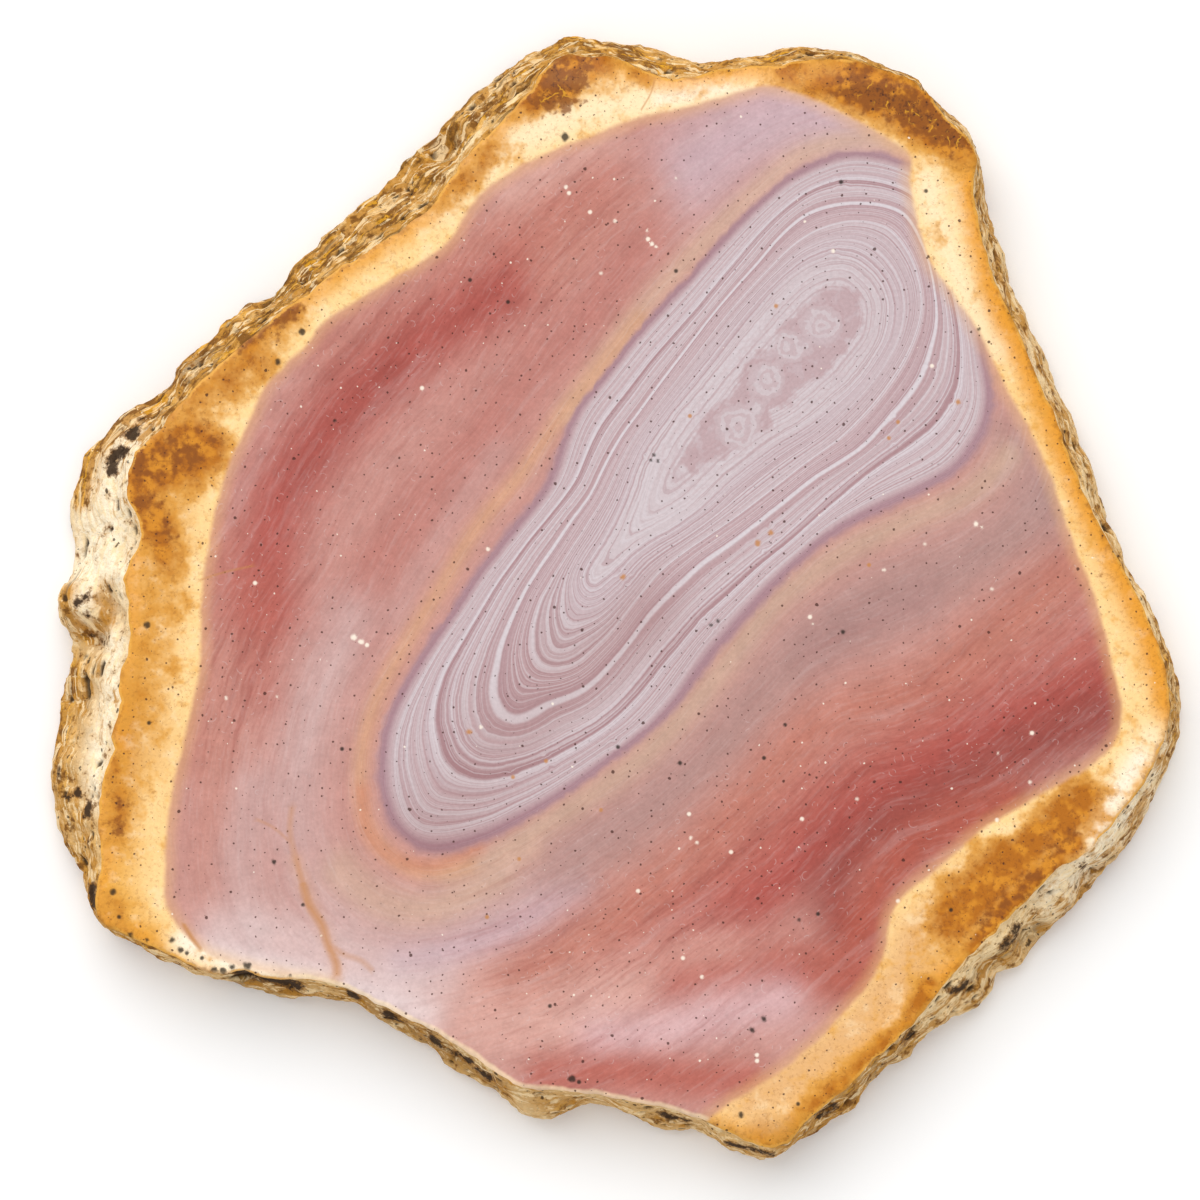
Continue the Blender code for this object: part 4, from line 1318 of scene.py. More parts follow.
class Sheet:
    """A node tree being drawn up, with one short call for each kind of node that is used often."""

    def __init__(self, tree: Group) -> None:
        """Takes up a node tree."""
        self.tree = tree

    def add(self, kind: str, **settings: object) -> Node:
        """Adds a node.

        Args:
            kind: The node's type, without ShaderNode in front.
            settings: The node's own settings.

        Returns:
            The node.
        """
        node = self.tree.nodes.new("ShaderNode" + kind)
        for name, value in settings.items():
            setattr(node, name, value)
        return node

    def feed(self, target: Socket, value: object) -> None:
        """Links a socket to another one, or sets it.

        Args:
            target: The input socket.
            value: The socket it is linked to, or its number, colour or vector.
        """
        if isinstance(value, Socket):
            self.tree.links.new(value, target)
        elif isinstance(value, Tone):
            target.default_value = value.linear
        else:
            target.default_value = value

    def give(self, node: Node, *values: object, **named: object) -> Node:
        """Feeds a node's inputs.

        Args:
            node: The node.
            values: What its first inputs get, in order.
            named: What its other inputs get, by their names with _ for the spaces.

        Returns:
            The node.
        """
        for socket, value in zip(node.inputs, values):
            self.feed(socket, value)
        for name, value in named.items():
            self.feed(node.inputs[name.replace("_", " ")], value)
        return node

    def calc(self, operation: str, *values: object, clamp: bool = False) -> Socket:
        """Works something out from one, two or three values.

        Args:
            operation: The Math node's operation.
            values: The sockets or numbers that go in.
            clamp: Whether the result is kept from 0 to 1.

        Returns:
            The result.
        """
        node = self.add("Math", operation=operation, use_clamp=clamp)
        return self.give(node, *values).outputs["Value"]

    def times(self, first: object, second: object) -> Socket:
        """Multiplies two values."""
        return self.calc("MULTIPLY", first, second)

    def scaled(self, value: object, factor: object, offset: object) -> Socket:
        """Multiplies a value with a factor and adds an offset."""
        return self.calc("MULTIPLY_ADD", value, factor, offset)

    def frayed(self, ragged: object, much: object, value: object) -> Socket:
        """Adds so much of a noise that is 0.5 on average to a value."""
        return self.scaled(self.calc("SUBTRACT", ragged, 0.5), much, value)

    def step(
        self, value: object, low: float, high: float, to_low: float = 0.0, to_high: float = 1.0
    ) -> Socket:
        """Maps a value from low to high smoothly on to two other values.

        Args:
            value: What goes in.
            low: The value where the step starts.
            high: The value where it ends.
            to_low: What comes out at and before the start.
            to_high: What comes out at and after the end.

        Returns:
            The result.
        """
        node = self.add("MapRange", interpolation_type="SMOOTHSTEP")
        if low > high:
            low, high, to_low, to_high = high, low, to_high, to_low
        return self.give(node, value, low, high, to_low, to_high).outputs["Result"]

    def blend(self, share: object, first: object, second: object, how: str = "MIX") -> Socket:
        """Blends two colours.

        Args:
            share: How much of the second colour there is.
            first: The first colour.
            second: The second colour.
            how: The Mix node's blend type.

        Returns:
            The blended colour.
        """
        node = self.add("Mix", data_type="RGBA", blend_type=how)
        for socket, value in zip((node.inputs[0], node.inputs[6], node.inputs[7]), (share, first, second)):
            self.feed(socket, value)
        return node.outputs[2]

    def ramp(self, value: object, stops: Sequence[tuple[float, tuple[float, ...]]]) -> Socket:
        """Turns a value from 0 to 1 into a colour.

        Args:
            value: What goes in.
            stops: The places from 0 to 1 and the colours there.

        Returns:
            The colour.
        """
        node = self.add("ValToRGB")
        elements = node.color_ramp.elements
        elements[0].position, elements[0].color = stops[0]
        elements[1].position, elements[1].color = stops[-1]
        for position, colour in stops[1:-1]:
            elements.new(position).color = colour
        self.feed(node.inputs["Fac"], value)
        return node.outputs["Color"]

    def noise(self, place: object, scale: float, detail: float = 2.0, roughness: float = 0.5) -> Socket:
        """Reads smooth noise.

        Args:
            place: Where it is read.
            scale: How many features there are for each unit of length.
            detail: How many finer layers it has.
            roughness: How strong the finer layers are.

        Returns:
            The noise, about 0.5 on average.
        """
        node = self.add("TexNoise")
        self.give(node, Vector=place, Scale=scale, Detail=detail, Roughness=roughness)
        return node.outputs["Fac"]

    def stretched(self, place: object, amounts: tuple[float, float, float]) -> Socket:
        """A place with each of its sides multiplied."""
        node = self.add("VectorMath", operation="MULTIPLY")
        return self.give(node, place, amounts).outputs["Vector"]

    def pushed(self, place: object, scale: float, detail: float, far: float) -> Socket:
        """Moves a place about in x and y by noise.

        Args:
            place: The place.
            scale: How many features the noise has for each unit of length.
            detail: How many finer layers it has.
            far: How far it moves the place at most.

        Returns:
            The moved place.
        """
        ragged = self.give(self.add("TexNoise"), Vector=place, Scale=scale, Detail=detail)
        node = self.add("VectorMath", operation="MULTIPLY_ADD")
        return self.give(node, ragged.outputs["Color"], (far, far, 0.0), place).outputs["Vector"]

    def strewn(self, place: object, start: Node) -> tuple[Socket, Socket, Socket]:
        """Strews points over a flat surface.

        Args:
            place: The place on the surface.
            start: The group's input, with the points' Spacing and the Share of them that is kept.

        Returns:
            The distance to the nearest point, a chance from 0 to 1, and whether the point is kept.
        """
        spacing = start.outputs["Spacing"]
        cells = self.add("TexVoronoi", voronoi_dimensions="2D")
        self.give(cells, Vector=place, Scale=self.calc("DIVIDE", 1.0, spacing))
        chance = self.give(self.add("SeparateColor"), cells.outputs["Color"])
        distance = self.times(cells.outputs["Distance"], spacing)
        kept = self.calc("LESS_THAN", chance.outputs["Green"], start.outputs["Share"])
        return distance, chance.outputs["Red"], kept

    def along_rings(self, ring: Socket, place: Socket, across: float, along: float) -> Socket:
        """A place for noise that is drawn out along the growth rings.

        Args:
            ring: How far out in the rings it is.
            place: The place.
            across: How often the noise changes from ring to ring.
            along: How often it changes in a millimetre along a ring.

        Returns:
            The place to read the noise at.
        """
        apart = self.give(self.add("SeparateXYZ"), place)
        sides = (self.times(apart.outputs[side], along) for side in ("X", "Y"))
        return self.give(self.add("CombineXYZ"), self.times(ring, across), *sides).outputs["Vector"]

    def bump(self, strength: float, depth: float, height: Socket) -> Socket:
        """Low relief.

        Args:
            strength: How strongly it shows.
            depth: How deep it looks, in millimetres.
            height: The height, from 0 to 1.

        Returns:
            The normal.
        """
        node = self.add("Bump")
        self.give(node, Strength=strength, Distance=depth * MM, Height=height)
        return node.outputs["Normal"]

    def value_of(self, name: str, output: str = "Fac") -> Socket:
        """What the mesh says under a name."""
        return self.add("Attribute", attribute_name=name).outputs[output]

    def place_in_mm(self) -> Socket:
        """The place on the piece in millimetres."""
        here = self.add("TexCoord").outputs["Object"]
        return self.stretched(here, (1 / MM, 1 / MM, 1 / MM))

    def use(self, group: Group, **values: object) -> Node:
        """Puts a node group in.

        Args:
            group: The group.
            values: What its inputs get, with _ for the spaces in their names.

        Returns:
            The group's node.
        """
        return self.give(self.add("Group", node_tree=group), **values)


class StoneEffects:
    """The effects that the stone's finishes share, each one a node group that is built once."""

    RING_TONES = (
        (-1.0, Tone.CORE_WHITE), (-0.1, Tone.CORE_WHITE), (0.0, Tone.CORE_EDGE), (0.94, Tone.PALE_MAUVE),
        (1.0, Tone.LINE_WHITE), (1.08, Tone.PINK_MAUVE), (1.55, Tone.PINK_MAUVE), (1.88, Tone.DEEP_MAUVE),
        (1.94, Tone.LINE_WHITE), (2.05, Tone.LINE_WHITE), (2.11, Tone.MAUVE), (2.3, Tone.MAUVE),
        (2.36, Tone.LILAC_WHITE), (2.44, Tone.PINK_MAUVE), (2.56, Tone.LILAC_WHITE),
        (2.67, Tone.PINK_MAUVE), (2.74, Tone.LINE_WHITE), (2.8, Tone.DEEP_MAUVE), (2.87, Tone.PALE_MAUVE),
        (2.94, Tone.LINE_MAUVE), (3.03, Tone.LINE_MAUVE), (3.1, Tone.LINE_WHITE), (3.3, Tone.CORE_EDGE),
        (3.4, Tone.PINK_MAUVE), (3.48, Tone.LILAC_WHITE), (3.58, Tone.PINK_MAUVE), (3.7, Tone.LILAC_WHITE),
        (3.84, Tone.MAUVE), (3.94, Tone.LILAC_WHITE), (4.2, Tone.PINK_MAUVE), (4.55, Tone.PURPLE),
        (5.0, Tone.PURPLE),
    )
    FINE_LINE_STRENGTH = (
        (-1.0, 0.16), (-0.2, 0.45), (0.0, 0.55), (0.95, 0.62), (1.05, 0.6), (1.85, 0.5), (1.93, 0.05),
        (2.08, 0.05), (2.2, 0.4), (2.8, 0.5), (3.1, 0.4), (4.0, 0.55), (4.25, 0.15), (5.0, 0.08),
    )
    # The levels at the ends of both ramps, and how many even fine lines each level has.
    RING_SPAN = (-1.0, 5.0)
    EVEN_LINES = 9.5

    def __init__(self) -> None:
        """Builds the groups, the shared small ones first."""
        self.mottle = self._build_mottle()
        self.pinholes = self._build_pinholes()
        self.arcs = self._build_arcs()
        self.bands = self._build_bands()
        self.figure = self._build_figure()

    @staticmethod
    def _group(name: str, inputs: dict[str, str], outputs: dict[str, str]) -> tuple[Sheet, Node, Node]:
        """Starts a node group.

        Args:
            name: The group's name.
            inputs: The names of its inputs and their kinds.
            outputs: The names of its outputs and their kinds.

        Returns:
            The group's sheet, its input node and its output node.
        """
        tree = bpy.data.node_groups.new(name, "ShaderNodeTree")
        for way, sockets in (("INPUT", inputs), ("OUTPUT", outputs)):
            for title, kind in sockets.items():
                tree.interface.new_socket(title, in_out=way, socket_type="NodeSocket" + kind)
        sheet = Sheet(tree)
        start = tree.nodes.new("NodeGroupInput")
        end = tree.nodes.new("NodeGroupOutput")
        return sheet, start, end

    def _build_mottle(self) -> Group:
        """Uneven clouding, as a colour to multiply with.

        Returns:
            The group.
        """
        sheet, start, end = self._group(
            "mottle", {"Place": "Vector", "Size": "Float", "Strength": "Float"}, {"Shade": "Color"}
        )
        scale = sheet.calc("DIVIDE", 1.0, start.outputs["Size"])
        clouds = sheet.noise(start.outputs["Place"], scale, 2.0, 0.62)
        shade = sheet.frayed(clouds, start.outputs["Strength"], 1.0)
        joined = sheet.give(sheet.add("CombineColor"), shade, shade, shade)
        sheet.give(end, joined.outputs["Color"])
        return sheet.tree

    def _build_pinholes(self) -> Group:
        """Small round spots strewn over a flat surface.

        Returns:
            The group.
        """
        sheet, start, end = self._group(
            "pinholes",
            {"Place": "Vector", "Spacing": "Float", "Radius": "Float", "Share": "Float"},
            {"Mask": "Float"},
        )
        place = sheet.pushed(start.outputs["Place"], 3.5, 1.0, 0.16)
        distance, chance, kept = sheet.strewn(place, start)
        size = sheet.scaled(sheet.calc("POWER", chance, 2.5), 1.0, 0.45)
        radius = sheet.times(size, start.outputs["Radius"])
        inside = sheet.calc("DIVIDE", sheet.calc("SUBTRACT", radius, distance), 0.06)
        soft = sheet.calc("ADD", inside, 0.5, clamp=True)
        sheet.give(end, sheet.times(soft, kept))
        return sheet.tree

    def _build_arcs(self) -> Group:
        """Short curved flecks strewn over a flat surface.

        Returns:
            The group.
        """
        sheet, start, end = self._group(
            "curved_flecks", {"Place": "Vector", "Spacing": "Float", "Share": "Float"}, {"Mask": "Float"}
        )
        place = start.outputs["Place"]
        distance, chance, kept = sheet.strewn(place, start)
        radius = sheet.scaled(chance, 0.35, 0.2)
        off = sheet.calc("ABSOLUTE", sheet.calc("SUBTRACT", distance, radius))
        broken = sheet.step(sheet.noise(place, 1.7, 1.0), 0.55, 0.64)
        sheet.give(end, sheet.times(sheet.times(sheet.step(off, 0.08, 0.02), broken), kept))
        return sheet.tree

    def _build_bands(self) -> Group:
        """The eye's bands and fine lines, read from the growth rings.

        Returns:
            The group.
        """
        sheet, start, end = self._group(
            "growth_bands",
            {"Ring": "Float", "Place": "Vector"},
            {"Color": "Color", "Strand": "Float", "Fibre": "Float"},
        )
        ring, place = start.outputs["Ring"], start.outputs["Place"]
        moved = sheet.frayed(sheet.noise(place, 0.22, 1.0), 0.06, ring)
        moved = sheet.frayed(sheet.noise(place, 1.1, 1.0), 0.025, moved)
        low, high = self.RING_SPAN
        share = sheet.calc("DIVIDE", sheet.calc("SUBTRACT", moved, low), high - low, clamp=True)
        stops = [(at, tone.linear) for at, tone in self.RING_TONES]
        greys = [(at, (much, much, much, 1.0)) for at, much in self.FINE_LINE_STRENGTH]
        colour, strength = (
            sheet.ramp(share, [((at - low) / (high - low), tone) for at, tone in ramp])
            for ramp in (stops, greys)
        )
        even = sheet.calc("SINE", sheet.times(moved, self.EVEN_LINES * 2 * math.pi))
        uneven = sheet.noise(sheet.along_rings(moved, place, 40.0, 0.05), 1.0, 1.0)
        lines = sheet.scaled(even, 0.055, uneven)
        colour = sheet.blend(sheet.times(sheet.step(lines, 0.54, 0.64), strength), colour, Tone.LINE_WHITE)
        colour = sheet.blend(sheet.times(sheet.step(lines, 0.46, 0.36), strength), colour, Tone.LINE_MAUVE)
        strand = sheet.noise(sheet.along_rings(moved, place, 7.0, 0.06), 1.0, 2.5, 0.6)
        fibre = sheet.noise(sheet.along_rings(moved, place, 34.0, 0.4), 1.0, 2.0, 0.6)
        sheet.give(end, colour, strand, fibre)
        return sheet.tree

    def _build_figure(self) -> Group:
        """The whole figure of the cut stone: eye, fields, cream band, rust, spots and cracks.

        Returns:
            The group.
        """
        sheet, start, end = self._group(
            "stone_figure", {"Place": "Vector"}, {"Color": "Color", "Polish": "Float", "Relief": "Float"}
        )
        place = start.outputs["Place"]
        ring = sheet.value_of("ring")
        bands = sheet.use(self.bands, Ring=ring, Place=place)
        eye = self._with_island(sheet, place, bands.outputs["Color"])
        fields = self._field_colour(sheet, place, bands)
        wobble = sheet.calc("SUBTRACT", sheet.noise(place, 0.5, 2.0), 0.5)
        outside_eye = sheet.step(sheet.scaled(wobble, 0.15, ring), 4.68, 5.12)
        tail = sheet.times(sheet.step(ring, -0.1, 0.9), sheet.value_of("eye_tail"))
        eye = sheet.blend(tail, eye, Tone.EYE_SHADE, "MULTIPLY")
        colour = sheet.blend(outside_eye, eye, fields)
        edge = sheet.scaled(wobble, 0.5, sheet.value_of("band_gap"))
        glow = sheet.step(edge, -1.7, 0.2, 0.0, 0.5)
        colour = sheet.blend(glow, colour, Tone.TAN_CREAM)
        in_band = sheet.step(edge, -0.35, 0.3)
        colour = sheet.blend(in_band, colour, self._band_colour(sheet, place))
        rim = sheet.scaled(wobble, 0.5, sheet.value_of("rim_gap"))
        unbanded = sheet.calc("SUBTRACT", 0.6, sheet.times(in_band, 0.6))
        pale_rim = sheet.times(sheet.step(rim, 0.6, 0.2), unbanded)
        colour = sheet.blend(pale_rim, colour, Tone.PALE_CREAM)
        grain = sheet.use(self.mottle, Place=place, Size=0.36, Strength=0.3).outputs["Shade"]
        colour = sheet.blend(1.0, colour, grain, "MULTIPLY")
        in_field = sheet.calc("SUBTRACT", 1.0, in_band)
        red = sheet.times(sheet.value_of("redness"), in_field)
        arcs = sheet.use(self.arcs, Place=place, Spacing=1.5, Share=sheet.times(red, 0.8))
        colour = sheet.blend(sheet.times(arcs.outputs["Mask"], 0.24), colour, Tone.WHITE_LILAC)
        share = sheet.scaled(red, 0.3, 0.05)
        flecks = sheet.use(self.pinholes, Place=place, Spacing=2.1, Radius=0.085, Share=share)
        colour = sheet.blend(sheet.times(flecks.outputs["Mask"], 0.75), colour, Tone.FLECK)
        shifted = sheet.give(sheet.add("VectorMath", operation="ADD"), place, (171.3, 93.7, 0.0))
        other = shifted.outputs["Vector"]
        fine = sheet.use(self.pinholes, Place=other, Spacing=1.1, Radius=0.078, Share=0.6)
        large = sheet.use(self.pinholes, Place=other, Spacing=2.9, Radius=0.12, Share=0.4)
        hole = sheet.times(sheet.calc("MAXIMUM", fine.outputs["Mask"], large.outputs["Mask"]), 0.84)
        colour = sheet.blend(hole, colour, Tone.PINHOLE)
        colour = sheet.blend(sheet.value_of("crack"), colour, Tone.ORANGE_STAIN)
        colour = sheet.blend(sheet.times(sheet.value_of("stain"), 0.85), colour, Tone.ORANGE_STAIN)
        dark = sheet.value_of("dark_mark")
        colour = sheet.blend(sheet.times(dark, 0.9), colour, Tone.BLACK_SPOT)
        colour = sheet.blend(sheet.times(sheet.value_of("fleck"), 0.85), colour, Tone.FLECK)
        rough = sheet.times(sheet.value_of("rust"), in_band)
        sunk = sheet.calc("MAXIMUM", hole, dark)
        dull = sheet.calc("MAXIMUM", sunk, sheet.times(rough, 0.5))
        polish = sheet.calc("SUBTRACT", 1.0, dull, clamp=True)
        sheet.give(end, colour, polish, sheet.calc("SUBTRACT", 1.0, sunk))
        return sheet.tree

    @staticmethod
    def _with_island(sheet: Sheet, place: Socket, eye: Socket) -> Socket:
        """Adds the core's mauve island and its pale cells.

        Args:
            sheet: The figure's sheet.
            place: The place.
            eye: The eye's colour.

        Returns:
            The colour with the island in it.
        """
        ragged = sheet.calc("SUBTRACT", sheet.noise(place, 0.75, 2.5, 0.62), 0.5)
        island = sheet.scaled(ragged, 2.6, sheet.value_of("island_gap"))
        cell = sheet.scaled(ragged, 2.0, sheet.value_of("cell_gap"))
        echo = sheet.calc("SINE", sheet.times(island, 8.0))
        near = sheet.step(island, 4.5, 0.3)
        faint = sheet.times(sheet.times(sheet.step(echo, 0.2, 1.0), near), 0.3)
        colour = sheet.blend(faint, eye, Tone.PINK_MAUVE)
        colour = sheet.blend(sheet.step(island, 0.45, -0.25, 0.0, 0.8), colour, Tone.MAUVE)
        rings = sheet.step(sheet.calc("SINE", sheet.times(cell, 7.5)), -0.5, 0.5, 0.4, 0.95)
        inside = sheet.times(sheet.step(cell, 0.25, -0.25), rings)
        colour = sheet.blend(inside, colour, Tone.CORE_WHITE)
        pale = sheet.step(ragged, 0.03, 0.14, 0.0, 0.45)
        return sheet.blend(sheet.times(pale, near), colour, Tone.CORE_EDGE)

    def _field_colour(self, sheet: Sheet, place: Socket, bands: Node) -> Socket:
        """Works out the colour of the fields, with strands that follow the rings.

        Args:
            sheet: The figure's sheet.
            place: The place.
            bands: The growth bands, whose strands and fibres are drawn out along the rings.

        Returns:
            The colour.
        """
        colour = sheet.value_of("field_tint", "Color")
        red = sheet.value_of("redness")
        strand, fibre = bands.outputs["Strand"], bands.outputs["Fibre"]
        amount = sheet.scaled(red, 0.28, 0.08)
        colour = sheet.blend(sheet.times(sheet.step(strand, 0.5, 0.72), amount), colour, Tone.DEEP_RED)
        colour = sheet.blend(sheet.step(strand, 0.46, 0.26, 0.0, 0.12), colour, Tone.WHITE_LILAC)
        deeper = sheet.times(sheet.step(fibre, 0.5, 0.7), amount)
        colour = sheet.blend(sheet.times(deeper, 0.6), colour, Tone.DEEP_RED)
        colour = sheet.blend(sheet.step(fibre, 0.5, 0.3, 0.0, 0.08), colour, Tone.WHITE_LILAC)
        clouds = sheet.use(self.mottle, Place=place, Size=3.0, Strength=0.24).outputs["Shade"]
        colour = sheet.blend(1.0, colour, clouds, "MULTIPLY")
        flock = sheet.use(self.mottle, Place=place, Size=0.85, Strength=0.22).outputs["Shade"]
        return sheet.blend(1.0, colour, flock, "MULTIPLY")

    def _band_colour(self, sheet: Sheet, place: Socket) -> Socket:
        """Works out the colour of the cream band, with its rust and its golden rim.

        Args:
            sheet: The figure's sheet.
            place: The place.

        Returns:
            The colour.
        """
        colour = sheet.value_of("band_tint", "Color")
        clouds = sheet.noise(place, 0.4, 3.0, 0.65)
        middling = sheet.noise(place, 1.1, 3.0, 0.68)
        small = sheet.noise(place, 2.6, 2.0, 0.68)
        colour = sheet.blend(sheet.step(clouds, 0.5, 0.7, 0.0, 0.4), colour, Tone.GOLD)
        colour = sheet.blend(sheet.step(clouds, 0.46, 0.3, 0.0, 0.35), colour, Tone.PALE_CREAM)
        rim = sheet.frayed(middling, 2.2, sheet.value_of("rim_gap"))
        golden = sheet.calc("SUBTRACT", 1.0, sheet.value_of("pale_rim"), clamp=True)
        amber = sheet.times(sheet.step(rim, 2.4, 0.2, 0.0, 0.7), golden)
        colour = sheet.blend(amber, colour, Tone.AMBER)
        colour = sheet.blend(sheet.step(rim, 0.5, -0.15, 0.0, 0.45), colour, Tone.BROWN)
        blotches = sheet.calc("SUBTRACT", clouds, 0.5)
        rust = sheet.scaled(blotches, 1.5, sheet.value_of("rust"))
        colour = sheet.blend(sheet.step(rust, 0.05, 0.5, 0.0, 0.85), colour, Tone.HONEY)
        rusty = sheet.step(rust, 0.32, 0.95)
        colour = sheet.blend(sheet.times(rusty, 0.96), colour, Tone.OCHRE)
        soft = sheet.noise(place, 0.55, 2.0, 0.55)
        lighter = sheet.times(sheet.step(soft, 0.46, 0.66), rusty)
        colour = sheet.blend(sheet.times(lighter, 0.6), colour, Tone.AMBER)
        brown = sheet.frayed(middling, -1.6, sheet.value_of("rust_brown"))
        brown = sheet.frayed(soft, -1.2, brown)
        colour = sheet.blend(sheet.step(brown, 0.35, 0.85, 0.0, 0.85), colour, Tone.BROWN)
        peppered = sheet.times(sheet.step(small, 0.54, 0.66), sheet.scaled(rusty, 0.26, 0.22))
        colour = sheet.blend(peppered, colour, Tone.BROWN)
        deep = sheet.frayed(small, 2.0, sheet.value_of("rust_brown"))
        colour = sheet.blend(sheet.step(deep, 0.85, 1.4, 0.0, 0.7), colour, Tone.DARK_BROWN)
        crazed = self._crackle(sheet, place)
        crazed = sheet.times(crazed, sheet.step(sheet.value_of("rust_brown"), 0.66, 0.95))
        colour = sheet.blend(sheet.times(crazed, 0.75), colour, Tone.RUST_GOLD)
        broken = sheet.step(sheet.noise(place, 0.3, 1.0), 0.38, 0.52)
        thin = sheet.frayed(small, 0.5, sheet.value_of("rim_gap"))
        line = sheet.times(sheet.step(thin, 0.3, 0.12), broken)
        return sheet.blend(sheet.times(line, 0.8), colour, Tone.GOLD)

    @staticmethod
    def _crackle(sheet: Sheet, place: Socket) -> Socket:
        """A net of thin cracks.

        Args:
            sheet: The sheet it is drawn on.
            place: The place.

        Returns:
            The net, 1 on its threads.
        """
        cells = sheet.add("TexVoronoi", voronoi_dimensions="2D", feature="DISTANCE_TO_EDGE")
        sheet.give(cells, Vector=sheet.pushed(place, 0.9, 2.0, 1.6), Scale=0.6)
        kept = sheet.step(sheet.noise(place, 0.8, 2.0), 0.45, 0.55)
        return sheet.times(sheet.step(cells.outputs["Distance"], 0.07, 0.015), kept)


@dataclass(frozen=True)
class PolishedFinish:
    """The satin polish of the cut face.

    Attributes:
        polished: The roughness where the polish is good.
        dull: The roughness of rust, spots and pinholes.
        hole_depth: How deep the pinholes look, in millimetres.
    """

    polished: float = 0.34
    dull: float = 0.6
    hole_depth: float = 0.06

    def material(self, effects: StoneEffects) -> bpy.types.Material:
        """Builds the finish.

        Args:
            effects: The effects that the finishes share.

        Returns:
            The material.
        """
        material, sheet, shader = new_material("polished_jasper")
        figure = sheet.use(effects.figure, Place=sheet.place_in_mm())
        smooth = sheet.step(figure.outputs["Polish"], 0.0, 1.0, self.dull, self.polished)
        normal = sheet.bump(0.35, self.hole_depth, figure.outputs["Relief"])
        sheet.give(shader, Base_Color=figure.outputs["Color"], Roughness=smooth, Normal=normal)
        sheet.give(shader, Specular_IOR_Level=0.24)
        return material


@dataclass(frozen=True)
class SawnFinish:
    """The matte back as the saw left it.

    Attributes:
        centre: The middle of the saw's arcs, in millimetres.
        pitch: How many arcs there are in ten millimetres.
        dust: How much the colours are paled by stone dust.
        roughness: How matte it is.
    """

    centre: tuple[float, float, float] = (-210.0, -60.0, 0.0)
    pitch: float = 8.0
    dust: float = 0.32
    roughness: float = 0.78

    def material(self, effects: StoneEffects) -> bpy.types.Material:
        """Builds the finish.

        Args:
            effects: The effects that the finishes share.

        Returns:
            The material.
        """
        material, sheet, shader = new_material("sawn_jasper")
        place = sheet.place_in_mm()
        figure = sheet.use(effects.figure, Place=place)
        away = sheet.give(sheet.add("VectorMath", operation="DISTANCE"), place, self.centre)
        uneven = sheet.scaled(sheet.noise(place, 0.12, 2.0), 2.0, away.outputs["Value"])
        arcs = sheet.calc("SINE", sheet.times(uneven, self.pitch * 2 * math.pi / 10.0))
        faint = sheet.step(sheet.noise(place, 0.08, 1.0), 0.35, 0.65)
        marks = sheet.times(arcs, faint)
        paled = sheet.scaled(marks, 0.05, self.dust)
        colour = sheet.blend(paled, figure.outputs["Color"], Tone.SAW_DUST)
        normal = sheet.bump(0.5, 0.04, sheet.scaled(sheet.noise(place, 5.0, 2.0), 0.8, marks))
        sheet.give(shader, Base_Color=colour, Roughness=self.roughness, Normal=normal)
        return material


